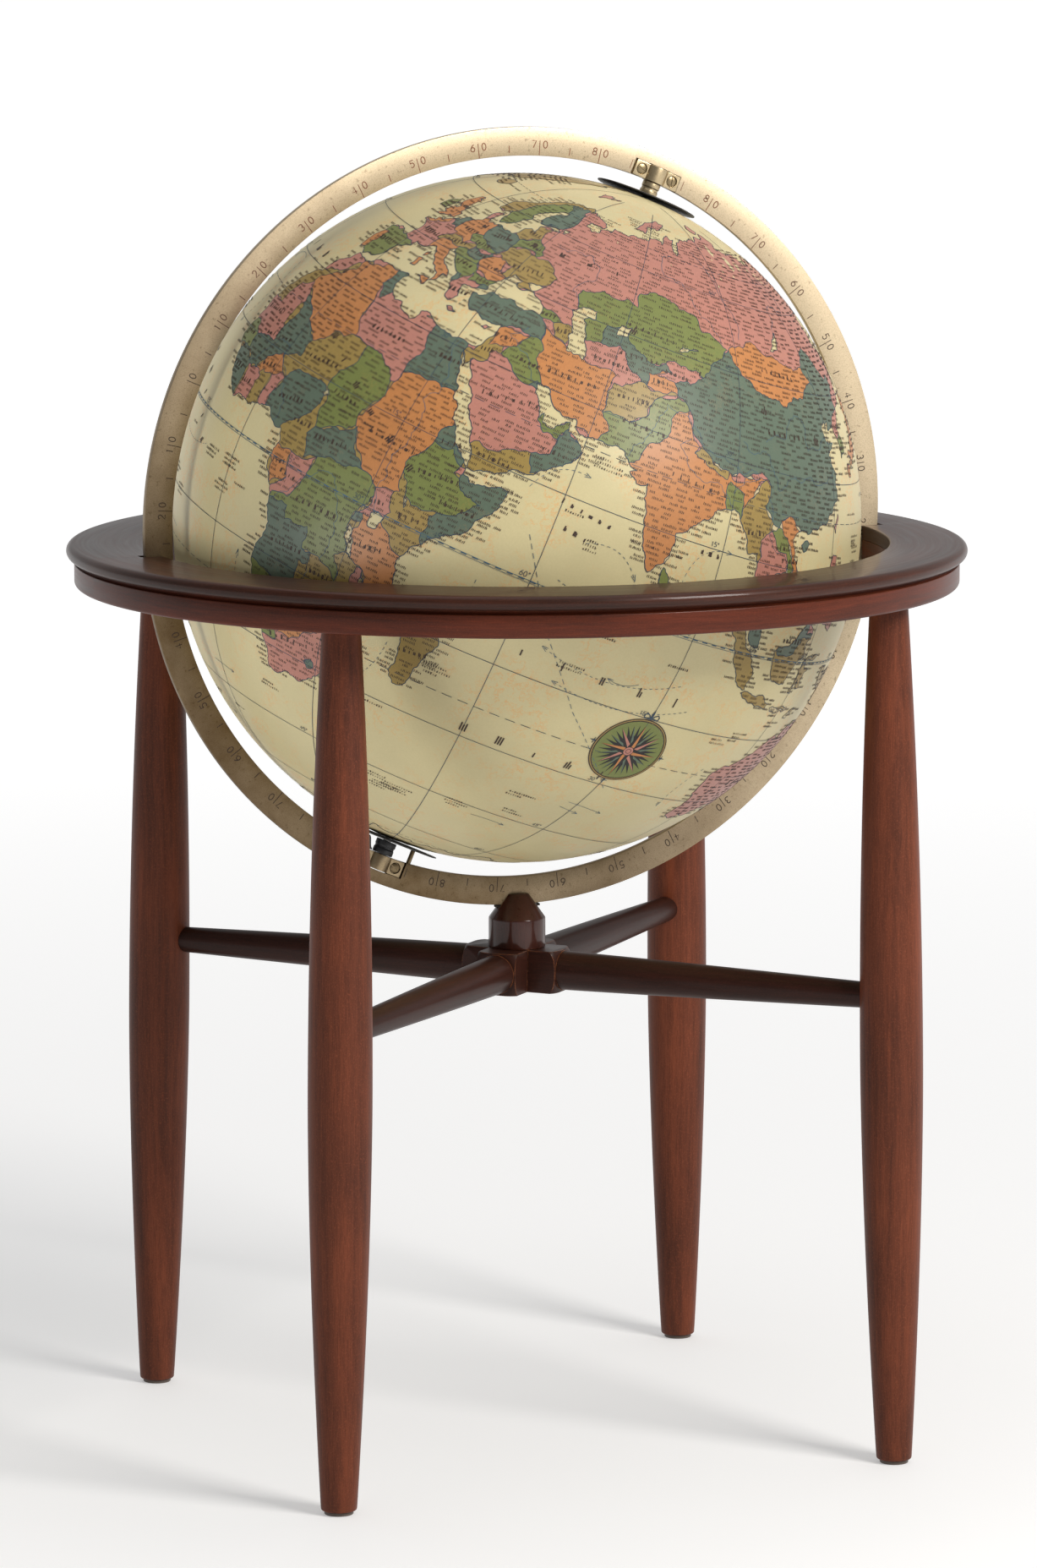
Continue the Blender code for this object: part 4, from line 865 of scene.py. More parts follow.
# Countries in the order they are printed, each over the ones before it, and only where there is land
COUNTRIES = """
olive: -19,20 -19,38 40,38 60,20 60,-40 0,-40 -19,4
rose: -30,72 -11,30 0,36 180,15 180,85 20,85
rose: -180,60 -168.5,60 -168.5,72 -180,72
olive: 92,-11 92,8 141,8 141,-11
orange: 141,0 141,-12 165,-12 165,0
rose: 110,-10 140,-10.5 160,-12 160,-45 110,-45
green: 160,-30 180,-30 180,-50 160,-50
orange: -2,36 9,38 8.3,36 8,33 9.5,30 10,26.5 12,23.5 4,19 1,21 -5,25 -9,27.3 -8.7,28.8 -4,31 -1.5,33
rose: -18,21 -13,21.3 -12,26 -8.7,27.3 -5,25 -5.5,15.5 -11,15.3 -12,14.8 -16.5,16 -18,16
teal: -12,14.8 -11,15.3 -5.5,15.5 -6.5,25 -5,25 1,21 4,19.2 4,16 -.5,14.8 -4,12.5 -5.5,10.4 -8,10.2
  -11.4,12.2
olive: 4,19.2 12,23.5 15.8,23 16,20 13.5,14 13.5,12 3.6,11.7 0,14.5 4,16
teal: 8.3,38 11.8,37.5 11.5,33 10,30.2 9,32 7.6,33.5 8.3,36
rose: 11.5,34 9.5,30.3 10,26.5 12,23.5 15.8,23 24,19.8 25,20 25,22 25,32.5 19,33.5
green: 15.8,23.2 24,19.6 24,16 22,12.5 23,11 19,9 15.5,7.6 14,10 14.5,13 13.5,14 16,20
teal: 25,32.5 25,22 37,22 36,26 32.5,29.9 32.4,32
orange: 25,22 37.4,22 39.5,18 36.5,14.5 34.2,10.5 34,8 35,4.6 32,3.6 30.8,3.6 27.3,5 24,8.8 22.5,11 22,12.5
  24,15.8
teal: 2.7,5 2.7,9 3.6,11.8 5,13.7 13.5,13.7 14.2,12 12,7.5 9.5,5.5 8.4,3.5
olive: 8.5,4.4 11.5,7 14,10 13.8,12.5 14.8,12.6 15.5,7.6 14.5,6 16,2 8,2.2
rose: .2,5.5 0,11 2.5,12.3 3.6,11.7 2.7,9 2.6,5.5
orange: -5.5,10.4 -4,13 -.5,15 2.2,12.4 0,11 -2.8,9.7
olive: -3.2,4.3 -2.8,11 0,11 1,5.3
rose: -8.5,3.5 -8.2,10.3 -5.5,10.4 -2.8,9.8 -3.1,4.3
teal: -15.5,10.8 -13.7,12.6 -11.4,12.3 -8,10.3 -7.8,8 -7.6,4 -14,6
green: -18,12.3 -11.4,12.3 -12,14.9 -14,16.6 -17.5,16.3
teal: 14.5,6 15.5,7.6 19,9.1 23,11 24,8.8 27.4,5.1 22.5,4.2 18.6,3.5 16,2.2
orange: 8.5,2.2 13.3,2.2 14.4,-1.8 11,-4.2
rose: 11,-4.6 14.3,-2 13.2,2.2 16,2 18.6,3.6 17.8,-.5 15.5,-4.8 12.2,-5.4
green: 12,-6 16.5,-6 17,-8 21.8,-7.3 22,-11 24.3,-11 29.8,-13.5 28.4,-9.2 30.7,-8.2 29.3,-5 29,-2.7 29.6,-.6
  31.2,2.3 30.8,3.6 27.4,5.1 22.5,4.2 18.6,3.6 17.8,-.6 16,-4.6 12.4,-5
teal: 11,-6 16.6,-5.9 17,-8 21.8,-7.3 22,-11 24,-11 24,-13 22,-13 22,-16.3 23.4,-17.7 14,-17.4 11,-17.2
olive: 22,-13 24,-13 24,-11 29.8,-13.5 28.4,-9.2 33,-9.4 33.2,-14 30.2,-15.7 27,-18 23.4,-17.6 22,-16.3
green: 30.2,-15.7 34.5,-12 34,-11.5 42,-10.3 42,-16.5 36,-20 37,-25 32,-26.9 31.3,-22.3 33,-18
teal: 25.2,-17.8 27,-18 30.2,-15.7 33,-16.5 32.8,-20 31.3,-22.4 29,-22.1 26,-19.5
green: 11,-17.2 14,-17.4 23.4,-17.6 25.2,-17.8 21,-18.4 21,-22 20,-22 20,-28.5 16.4,-28.6 13,-28
orange: 21,-18.4 25.2,-17.8 26,-19.5 29,-22.1 26,-24.7 25.5,-25.7 20.7,-26.8 20,-24.8 20,-22 21,-22
rose: 14,-28.6 17,-28.5 20,-28.5 20,-24.8 20.7,-26.8 25.5,-25.7 26,-24.7 29,-22.1 31.3,-22.4 32,-26.9 35,-29
  25,-37 14,-36
teal: 27,-29.6 28.6,-28.6 29.4,-29.8 28,-30.6
rose: 32.8,-9.4 34,-9.6 34.8,-11.5 35.9,-15 35.2,-17 34.2,-14.6 32.7,-13.6
green: 36.5,14.5 40,14.6 42.4,12.4 42,11 43,10.6 44,9 48,8 45,5 42,4.2 39.5,3.4 36,4.5 34,7.9 34.2,10.6
  35.5,12
teal: 36.4,14.4 37,17 38.5,18.6 44,12.5 42.4,12.4 40,14.6
rose: 41.7,11 42.4,12.6 44,12.8 43.8,11
teal: 43.2,11.6 52,12.6 53,10 47,1 41.5,-2.2 41,-.8 41,3.2 42,4.2 45,5 48,8 44,9 43,10.6
olive: 34,4.3 36,4.5 39.5,3.5 41.9,4 41,3.2 41,-.8 41.7,-1.6 39.2,-4.8 34,-1
rose: 29.6,-1.3 31.2,2.3 30.8,3.6 34,4.3 34.9,1 34,-1
orange: 30.6,-1 34,-1 39.3,-4.8 41,-10.6 35,-11.6 34,-9.5 31,-8.5 29.3,-6.2 29.7,-4.4 30.8,-3
teal: 28.9,-2.7 29.3,-1.4 30.5,-1.1 30.8,-2.4 29.6,-2.8
olive: 29,-2.8 30.8,-2.4 30.7,-3.4 29.5,-4.5
olive: 42,-11 52,-11 52,-27 42,-27
green: -10,35.9 -1,36 4,42.4 -1.7,43.4 -10,44.4
orange: -10,36.6 -7.4,37 -6.8,41.8 -10,42
rose: -5.5,49 2.5,51.2 8.2,49 7,47.5 7.6,43.4 3,42.2 -1.8,43.3 -5,47
orange: 6,51.8 7,54 10,55 14.3,54.8 15,51 12.2,50.3 13.8,48.7 13,47.5 7.5,47.6 8.2,49 6.2,49.5
teal: 2.5,51.1 4.5,54 7,53.6 6,50.8 6.2,49.5
olive: 6,46 7.5,47.6 13,47.6 17,48.8 16.3,46.8 10,46.3 7,45.9
orange: 7,43.8 7,46 13.7,46.6 13.7,45.6 16,43 19,40 15.8,36.2 12,37.3 8,38.6 8,42
teal: 14.2,54.2 14.5,55.3 19,55 23.5,54 24,50.5 22.6,49 18.8,49.4 15,51
green: 12.2,50.3 15,51 18.8,49.6 22.5,49 22,48.3 17,48 13.8,48.7
green: 13.6,45.4 13.6,46.5 16.2,46.9 18.8,45.9 21,46.2 22.7,44.2 22.4,42.2 21,41 19.2,41.8 16,43
teal: 16.2,46.8 17,48 22,48.4 22.8,47.9 21,46.2 18.8,45.8
orange: 21,46 22.8,48 26.6,48.2 28.2,45.5 30.2,45.4 29,43.7 22.7,44
green: 22.4,44.1 29,43.8 28.4,42 26.2,41.5 22.9,41.4
rose: 19,38 20,39.6 21,41 22.9,41.4 26.3,41.8 26.2,40.8 28,34 21,34
teal: 19,42 20.4,42 21,40.8 20,39.4 19,40
olive: 20.5,55.3 20.7,58 23,59.5 28,59.7 27.5,57.5 28.2,56.2 26.5,55.6 23.6,54
olive: 3,57.5 11.2,58.9 12.3,61.5 12.3,63.6 15,66.3 18,68.5 20.5,69.1 25.7,69.2 31,69.5 31,72 15,71 3,63
green: 10.8,59 12.3,61.5 12.3,63.6 15,66.3 18,68.5 20.5,69.1 23.7,67.9 24.1,65.8 20,63 19.7,59.5 16.6,55.5
  12,55
teal: 20.5,69.1 25.7,69.2 27,70 29,69.7 28.5,68.2 30,67.5 31.5,63 28,60.4 23,59.5 20,61 20,63.4 24.1,65.8
  23.7,67.9
rose: 7.5,54.9 10,55 11.5,58 7.5,57.4
green: 23.5,54 26.6,55.7 28.3,56.1 31,55 32.6,53.2 31.3,52 23.6,51.5
olive: 22.2,48.4 24,50.6 23.6,51.5 31.3,52.1 34,52.3 40,49.6 38.2,47 36.6,46 36.6,45 33.8,44 30,45 28.2,45.5
  28.8,47.9 26.6,48.2
orange: -9,49.5 2.5,49.9 2.5,60 -8.2,60 -5.8,54.6 -5.6,53
green: -11,51 -5.9,51.5 -5.6,54.3 -8,56 -11,56
olive: -26,62.5 -12,62.5 -12,67 -26,67
teal: 25.8,40 26.2,41.9 28.2,42.2 29.5,41.5 35,42.6 41.5,41.5 44,40 44.6,37.2 42.3,37.2 36.8,36.7 36,35.6
  30,35.6 25.8,36.8
green: 39.9,43.4 43,43.2 46.5,41.9 45,41.2 41.4,41.4
rose: 43.5,41.1 45,41.2 46.5,39 44.8,39.7
olive: 45,41.2 46.5,41.9 48.5,42 51,40.4 49.2,38.4 46.5,38.9
green: 42.3,37.2 44.6,37.2 46,35.8 45.5,33.8 48,31 48.6,29.8 46.5,29.1 44.7,29.2 42,31 39,32.2 41,34.5
rose: 34.5,29 36,29.2 37.5,30 37,31.5 39.2,32.1 42,31 44.7,29.2 46.5,29.1 49,28.4 51.5,25.5 51.5,24.3
  52.5,22.8 55.2,22.7 55,20 52,19 47,17 43.3,17.4 42,16.4 38,20
orange: 35,35.8 36.8,36.8 42.4,37.2 41,34.4 38.8,33.4 36,32.6 35.4,34
olive: 34.2,31 34.5,33.2 36.2,34.5 36,32.6 38.8,33.4 39.2,32.1 37,31.5 37.5,30 36,29.2 34.8,29.3
teal: 46.5,29.1 47.7,30.4 49,28.4
green: 50.7,24.4 51,26.5 54,24.8 56.3,26.6 56.4,24.8 55.2,22.7 52.5,22.8 51.5,24
orange: 44,39.8 46.5,38.9 49,38.4 54,37.3 61.2,36.7 60.6,34 61,31.4 61.8,31 63.2,27.2 61.5,24.6 57,26 52,27
  48.5,29.8 48,31 45.5,33.8 46,35.8 44.6,37.2
teal: 56.3,24.9 60.5,22.7 58.5,18.5 53.1,16 52,19 55,20 55.3,22.8
olive: 42,16.4 43.3,17.4 47,17 52,19 53.2,16.2 52,14.6 45,12 42.5,12.4
rose: 52,41.8 57,41.3 60,42.3 62.5,40 66.5,37.4 64.5,36.2 61.2,35.3 61.2,36.7 54,37.3 52,37.5
teal: 56,45 58.6,45.5 62,43.5 66,42 68,41.2 71,42.2 73,40.6 70.5,40 68,38 67.8,37.1 66.5,37.4 62.5,40
  60,42.3 57,41.3 56,41.3
green: 46.6,48.4 47,49.8 52,51.5 55,50.8 61.5,50.9 61,53.9 69,55.3 77,54 80,50.9 83,50.9 87.3,49.1 85.5,47
  82.5,45.3 80.2,42.1 75,43 71,42.3 68,41.2 66,42 62,43.5 58.6,45.5 56,45 56,41.3 50,41.7 50,44.5 48,46
orange: 67.8,37.1 68,38.2 67.6,39.5 70.5,40.9 73.6,39.5 75,37.5 71.5,36.8
orange: 87.8,49.2 92,50.7 98,52 102,50.4 108,49.5 116.5,49.8 119.8,46.7 112,43.7 105,41.6 97,42.7 91,45.2
teal: 73.6,39.4 76,40.4 80.2,42.1 82.5,45.3 85.5,47 87.8,49.2 91,45.2 97,42.7 105,41.6 112,43.7 119.8,46.7
  116.5,49.8 120,52.7 123.5,53.5 127.5,50 131,47.8 134.8,48.4 131,44.9 130.6,42.4 124.3,39.8 124,36 123,28
  119,21 112,17 107,18.5 108,21.5 105.3,23.3 101.8,21.2 100,21.6 97.6,24 98.6,27.6 96,29.4 92,27.8 88.9,27.3
  86,28 82,30.1 79,32.4 78,35.5 74.8,37.3
rose: 70.5,40.2 73,40.8 71,42.5 75,43 80.2,42.2 76,40.3 73.8,39.4 69.5,39.6
olive: 61.2,35.3 64.5,36.2 66.5,37.4 71.5,36.8 74.9,37.4 71.2,36 69.5,34 69.3,32 66.3,30 62.5,29.4 60.8,29.8
  61.2,31.4 60.6,33.5
green: 61.5,24.8 63.2,27.2 61,29.8 66.3,29.9 69.3,31.9 69.6,34 71.2,36.1 74.9,37.2 77.8,35.5 74.2,33 74.6,31
  71,27.8 70,24.5 68.2,23.4 66,24
orange: 68.2,23.4 70,24.6 71,27.8 74.6,31 74.2,33 77.8,35.6 79,32.4 81,30.2 80.2,29 88,26.5 88.1,27.8
  89,27.2 92,27.8 97.2,28.3 94.5,25 93,22.2 91.3,24 89.7,25.8 88.2,24.5 89.3,22 89,19 79.6,11 79,8 76,6.5
  67,20
olive: 80.2,28.9 81.5,30.4 88.1,27.9 88,26.4 84,27.4
rose: 88.8,27.2 90.5,28.2 92,27.6 91.8,26.8 89,26.8
green: 88.1,24.6 88.8,26.3 92.2,25 92.4,21 90,21 88.9,21
green: 79.3,10 82.2,10 82.2,5.6 79.3,5.6
olive: 92.2,20.8 93.3,24 97.3,28.4 98.6,27.5 97.6,24 100.2,21.6 97.8,18.5 98.5,15.5 99,10 97,10 95,14
  93,16.5
rose: 98.4,9 98.6,16 97.8,18.5 100.1,20.4 102,17.9 104.7,17.4 105.4,14.4 102.5,13.5 102.7,12 100.6,10
  101.8,6.5 100,6.3 97.5,8
green: 100.1,20.4 101.8,21.3 105,19 107.5,15 106,14.3 104.7,17.4 102,17.9
orange: 102.2,22.4 105.3,23.4 108.4,21.4 107.5,18 111,12 105,8 104.6,10.4 107.6,12.4 107.4,15 105,19
olive: 102.4,13.5 105.4,14.4 107.6,14.3 107.6,12.3 106,11 104.5,10.1 102.2,11.4
teal: 100.1,6.3 102.2,6.6 105,1 101,2 99.5,6
teal: 108.5,2.4 110,1 111,1 114.8,1.5 115.8,4.3 117.6,4.2 120,5 116,8.5 110,4
rose: 124.3,39.8 130.6,42.6 131,40 128.4,38.4 126.5,37.8 124,38
green: 126,37.6 128.4,38.5 130.5,36 127,33.5 125.5,35
orange: 128.5,30 131,34.8 138,39 139.5,46 147,44 142,34
rose: 117,5 117,19.5 128,19.5 128,5
rose: -168.5,50 -168.5,84 -60,84 -50,45 -62,42 -68,47.5 -74.7,45 -83,42 -95,49 -125,49 -141,60 -141,72
green: -168.5,50 -168.5,72 -141,72 -141,60.2 -130,55.5 -136,50
green: -125,49 -95,49 -89,48 -83,46 -82.6,42 -79,43.3 -75,45 -71,45.3 -67.8,47.2 -66.8,44.6 -76,22 -84,24
  -97,25.9 -99.5,27.5 -103,29 -106.5,31.8 -111,31.3 -117.1,32.5 -127,40
orange: -117.1,32.5 -111,31.3 -106.5,31.8 -103,29 -99.5,27.5 -97,25.9 -94,22 -86,22 -88,17.8 -91,17.2
  -92.2,14 -106,17 -118,28
teal: -92.2,14 -91,17.2 -88,17.8 -82,16 -79,10 -77.3,8.5 -77.8,7 -84,7
olive: -86,24 -72,24 -68,17 -85,17
orange: -79,1 -77.3,8.6 -71.5,12.6 -72.5,9 -67.5,6.2 -67,1.2 -70,-4.2 -75,0
green: -72.5,12 -72.5,9 -67.5,6.2 -67,1.2 -63,3.8 -60.5,5 -60,9 -62,11.5
rose: -60.5,8.5 -60.5,5 -60,2 -54,2.3 -51.5,4.2 -53,6.5
rose: -70,-4.2 -67,1.2 -63,3.8 -60,2 -54,2.3 -51.5,4.4 -30,-3 -33,-10 -52,-34 -57.6,-30.2 -53.8,-27
  -55.7,-22.3 -58,-20 -60,-14 -65.3,-10.5 -70.6,-11 -73.5,-7
teal: -81,1 -77.5,.8 -75,-.2 -78,-5 -82,-4
olive: -82,-4 -78,-5 -75,-.2 -70,-4.2 -73.5,-7 -70.6,-11 -69,-13 -69.6,-17.6 -71,-19
green: -69.6,-17.6 -69,-13 -65.3,-10.5 -60,-14 -58,-20 -62.5,-22.2 -67.8,-22.8
orange: -62.5,-22.2 -58,-20 -55.7,-22.3 -54.6,-25.6 -58.6,-27.3
teal: -67.8,-22.8 -62.5,-22.2 -58.6,-27.3 -54.6,-25.6 -53.8,-27 -57.6,-30.2 -58.4,-34 -55,-38 -60,-56
  -69,-55.5 -68.5,-52.2 -72,-51 -71.7,-44 -70,-33 -68.5,-28
olive: -57.6,-30.2 -53,-33.4 -54,-36 -59,-34.6
orange: -71,-17.6 -69.6,-17.6 -67.8,-22.8 -68.5,-28 -70,-33 -71.7,-44 -72,-51 -68.5,-52.2 -69,-56.5 -80,-50
  -75,-30
olive: -74,84 -10,84 -10,59 -55,59 -60,72
"""

LAKES = """
47,45 49,46.4 52.5,46.8 53,45 50.5,44.3 52.5,41.5 53.8,39 53.8,37 50,37.4 49,40 49.5,41
58.5,44 59,46 61.5,46.5 61,44.3
73.8,45.5 74.5,46.6 79,46.8 76,46
104,51.5 106,53 109.7,55.7 109,54 107,52.2
31.8,-.5 33,.3 34.2,-.3 33.5,-2.5 32,-2.5
29.1,-3.5 29.7,-4 31.2,-8.5 30.2,-8
34,-9.7 34.7,-11.5 35.2,-14.3 34.5,-13.5
13.3,13 14,13.8 14.8,13.2 14,12.6
35.9,4.4 36.6,4 36.6,2.6
30.5,61 32.5,61.2 31.5,60
-92,46.8 -88,48.8 -84.8,46.7
-87.8,42 -87.2,45.2 -85.2,45.6 -86.3,42
-84,45.9 -80.5,45.5 -82,43.2
-83.2,41.8 -79,42.8 -81,41.6
-123,65.4 -119,66.5 -118,65.4
-116,61 -110,62.6 -112,61
-98,50.6 -98.5,53.6 -96.8,51
"""

RIVERS = """
32.5,-.5 31.5,2.5 31.8,6 31,9.5 32.5,13 32.6,16.5 31,19.5 33,21.5 32.8,25 31.2,28 31,31.3
26,-11 27,-6 25.5,-1 23.5,2 20,1.8 17.2,-1 15.5,-4 12.6,-6
-9,10.5 -6,13.5 -3,16.8 0,16 4,12 6.5,8.5 6.2,4.8
24,-13 23.3,-17.3 26,-17.9 29,-16 33,-16.5 36,-18.6
41,38.5 38.5,36 42,34 45,32 48.4,30
79,31 77,29.5 80.5,26 85,25.3 88.5,24 90.3,22.4
82,30.5 77.5,34.5 73,35.3 71.8,32 70.5,29 68.2,26.5 67.7,24.2
82.5,30 88,29.3 93.5,29.3 95.5,28.3 91,26 89.7,24.5
34,57 40,57.5 48,56 48.8,53 46,51 45,48.6 48,46
86,50 83,53.5 78,56 74,60.5 67,61.5 66.5,65.5 70,66.6
92,52 92.5,56.5 89,61 87,66 83,70.5
107,54 113,60 121,60.5 129.5,63 126,67 127,72
91,33.5 98,32.5 101,27 106.5,29.5 111,30.5 116,30 120.5,32
97,34.5 103,36 107,40.5 110.5,38.5 110.5,34.8 116,36 118.8,37.6
98,26 99.5,20 101.5,17.5 105.5,15 106.2,10.6
-73,-4.5 -66,-3.2 -60,-3.2 -54,-2 -50.5,-.2
-94.5,47 -91,43 -90.3,38.5 -89.5,35 -91.2,31 -89.5,29.3
-59,-15.5 -57.5,-21 -58.5,-27.5 -60.5,-32.5 -58.5,-34.2
"""


def numbers(text):
    return [tuple(map(float, pair.split(","))) for pair in text.split()]


def rows(text):
    return [numbers(row) for row in text.strip().splitlines()]


def named_rows(text):
    return [(name, numbers(row)) for name, row in re.findall("([a-z_]+): ([^a-z]+)", text)]


def wander(a, b, step, swing=0.17):
    """Points from a up to b with a rough line between them, the same one whichever end it starts from."""
    if math.dist(a, b) < step or abs(a[0]) == abs(b[0]) == 180 or a[1] == b[1] == -90:
        return [a]
    rnd = random.Random(str(sorted((a, b))))
    push = rnd.uniform(-swing, swing) * (1 if a < b else -1)
    mid = ((a[0] + b[0]) / 2 - (b[1] - a[1]) * push, (a[1] + b[1]) / 2 + (b[0] - a[0]) * push)
    return wander(a, mid, step, swing) + wander(mid, b, step, swing)


def rough_loop(points, step):
    return [p for a, b in zip(points, points[1:] + points[:1]) for p in wander(a, b, step)]


def on_ball(lon, lat, lift=0.0):
    a, b = math.radians(lon), math.radians(lat)
    toward = TO_BALL @ Vector((math.cos(b) * math.cos(a), math.cos(b) * math.sin(a), math.sin(b)))
    return CENTRE + toward * (BALL_R + lift)


def widening(lat):
    """Degrees of longitude that are as long as one degree of latitude."""
    return 1 / math.cos(math.radians(lat))


def points_inside(points, loop):
    """Which points lie inside a closed loop."""
    near = np.where(((points >= loop.min(0)) & (points <= loop.max(0))).all(1))[0]
    x, y = points[near, 0][:, None], points[near, 1][:, None]
    x0, y0 = loop.T
    x1, y1 = np.roll(loop, -1, 0).T
    spans = (y0 > y) != (y1 > y)
    with np.errstate(divide="ignore", invalid="ignore"):
        crossed = spans & (x < (x1 - x0) * (y - y0) / (y1 - y0) + x0)
    result = np.zeros(len(points), bool)
    result[near] = crossed.sum(1) % 2 == 1
    return result


COAST_STEP, BORDER_STEP = 0.5, 1.0  # degrees between the points of a rough line
FILL_PITCH = 2.5  # degrees between the inner points that let flat triangles follow the ball


def triangulate_map():
    """One triangulation of the whole chart. Gives its points, triangles and the colour of each triangle."""
    loops = [(rough_loop(outline, COAST_STEP), "land") for _, outline in named_rows(LAND)]
    loops += [(rough_loop(outline, BORDER_STEP), colour) for colour, outline in named_rows(COUNTRIES)]
    loops += [(rough_loop(outline, COAST_STEP), "lake") for outline in rows(LAKES)]
    points, edges = [], []
    for loop, _ in loops:
        start, count = len(points), len(loop)
        edges += [(start + i, start + (i + 1) % count) for i in range(count)]
        points += [Vector(p) for p in loop]
    for lat in np.arange(-90, 90 + FILL_PITCH, FILL_PITCH).tolist():
        count = max(12, round(360 * math.cos(math.radians(lat)) / FILL_PITCH))
        points += [Vector((-180 + 360 * i / count, lat)) for i in range(count + 1)]
    corners, _, triangles, *_ = delaunay_2d_cdt(points, edges, [], 0, 1e-5)
    middles = np.array([sum((corners[i] for i in t), Vector((0, 0))) / 3 for t in triangles])
    ground = np.zeros(len(triangles), bool)
    colours = np.full(len(triangles), "cream", "<U8")
    for loop, paint in loops:
        inside = points_inside(middles, np.array(loop))
        if paint == "land":
            ground |= inside
        elif paint == "lake":
            ground &= ~inside
        else:
            colours[inside] = paint
    colours[~ground] = "sea"
    return corners, triangles, [str(c) for c in colours]


chart_points, chart_triangles, chart_colours = triangulate_map()
LAND_LIFT, LINE_LIFT, ROOT_DEPTH = 0.0002, 0.00023, 0.0001  # heights of the print over the ball, and its root
THIN_INK, MEDIUM_INK, THICK_INK, NAME_INK = 0.00003, 0.00004, 0.00005, 0.00006  # thickness of the ink on top


def on_globe(piece, *replaced):
    settle(piece, "globe", "printed_globe", *replaced)


def settle_land(colour, material):
    """Raised print of one colour: its faces, the same again below the surface, and a wall round the edge."""
    bm = bmesh.new()
    tops, lows = {}, {}

    def corner(index, store, lift):
        if index not in store:
            lon, lat = chart_points[index]
            key = ("pole", lat > 0) if abs(lat) > 89.99 else (round((lon + 180) % 360, 4), round(lat, 4))
            if key not in store:
                store[key] = bm.verts.new(on_ball(lon, lat, lift))
            store[index] = store[key]
        return store[index]

    sides = {}
    for triangle, paint in zip(chart_triangles, chart_colours):
        if paint != colour:
            continue
        top = [corner(i, tops, LAND_LIFT) for i in triangle]
        low = [corner(i, lows, -ROOT_DEPTH) for i in triangle]
        if len(set(top)) < 3:
            continue
        bm.faces.new(top)
        bm.faces.new(low[::-1])
        for k in range(3):
            j = (k + 1) % 3
            edge = frozenset((top[k], top[j]))
            sides[edge] = None if edge in sides else (top[k], low[k], low[j], top[j])
    for side in filter(None, sides.values()):
        bm.faces.new(side)
    on_globe(piece_from(f"land_{colour}", bm, material))


hole = math.degrees(math.asin(POLE_HOLE_R / BALL_R))
shell = arc((0, 0), BALL_R, hole, 180 - hole, 72) + arc((0, 0), BALL_R - SHELL_T, 180 - hole, hole, 48)
sea = turned("printed_ball", [(y, x) for x, y in shell], 144, sea_paper, POLAR)
on_globe(sea, "north_hemisphere", "south_hemisphere")
for colour, material in PRINTS.items():
    settle_land(colour, material)

BORDER_W, GRID_W, EQUATOR_W, EQUATOR_DASH_W, RIVER_W = 0.0006, 0.0004, 0.0003, 0.0008, 0.00035
NUMERAL_W, SMALL_NAME_W, LARGE_NAME_W, SEA_NAME_W, NOTE_W = 0.0004, 0.00045, 0.0008, 0.0011, 0.0004
DASH_W, CURRENT_W, TRACK_W = 0.00035, 0.0003, 0.0004
CHORD = 1.4  # degrees between the points of a line, so that it follows the ball


def chart_line(points, width):
    """A line on the ball through chart points."""
    result = []
    for (lon0, lat0), (lon1, lat1) in zip(points, points[1:]):
        reach = math.hypot((lon1 - lon0) * math.cos(math.radians((lat0 + lat1) / 2)), lat1 - lat0)
        count = max(1, math.ceil(reach / CHORD))
        result += list(zip(spread(lon0, lon1, count), spread(lat0, lat1, count)))[:-1]
    result.append(points[-1])
    placed = []
    for lon, lat in result:
        spot = on_ball(lon, lat, LINE_LIFT)
        if not placed or (spot - placed[-1][0]).length > 1e-5:
            placed.append((spot, (spot - CENTRE).normalized(), width))
    return placed


def border_chains():
    """Runs of edges between triangles of different colours."""
    sides = {}
    for triangle, colour in zip(chart_triangles, chart_colours):
        for k in range(3):
            sides.setdefault(frozenset((triangle[k], triangle[(k + 1) % 3])), []).append(colour)
    links = {}
    for edge, colours in sides.items():
        if len(colours) == 2 and colours[0] != colours[1]:
            a, b = edge
            links.setdefault(a, set()).add(b)
            links.setdefault(b, set()).add(a)
    starts = [p for p in sorted(links) if len(links[p]) != 2] + sorted(links)
    for start in starts:
        while links[start]:
            chain = [start]
            while links[chain[-1]]:
                here = chain[-1]
                ahead = min(links[here])
                links[here].discard(ahead)
                links[ahead].discard(here)
                chain.append(ahead)
                if len(links[ahead]) != 1:
                    break
            yield [tuple(chart_points[i]) for i in chain]


def printed_lines(name, lines, rise, ink):
    on_globe(strokes(name, list(lines), rise, ink))


TROPIC, POLAR_CIRCLE = 23.5, 66.5


def grid_lines():
    """Meridians and parallels, with the tropics and polar circles dashed."""
    for lon in range(-180, 180, 30):
        limit = 87 if lon % 90 == 0 else 80
        yield chart_line([(lon, -limit), (lon, limit)], GRID_W)
    for lat in (-60, -45, -30, -15, 15, 30, 45, 60):
        yield chart_line([(lon, lat) for lon in range(-180, 181, 2)], GRID_W)
    for lat in (-POLAR_CIRCLE, -TROPIC, TROPIC, POLAR_CIRCLE):
        for lon in range(-180, 180, 3):
            yield chart_line([(lon, lat), (lon + 1.9, lat)], GRID_W)


def equator_lines():
    """A double line with a dash in every other degree."""
    for lat in (-0.2, 0.2):
        yield chart_line([(lon, lat) for lon in range(-180, 181, 2)], EQUATOR_W)
    for lon in range(-180, 180, 2):
        yield chart_line([(lon, 0.1), (lon + 1, 0.1)], EQUATOR_DASH_W)


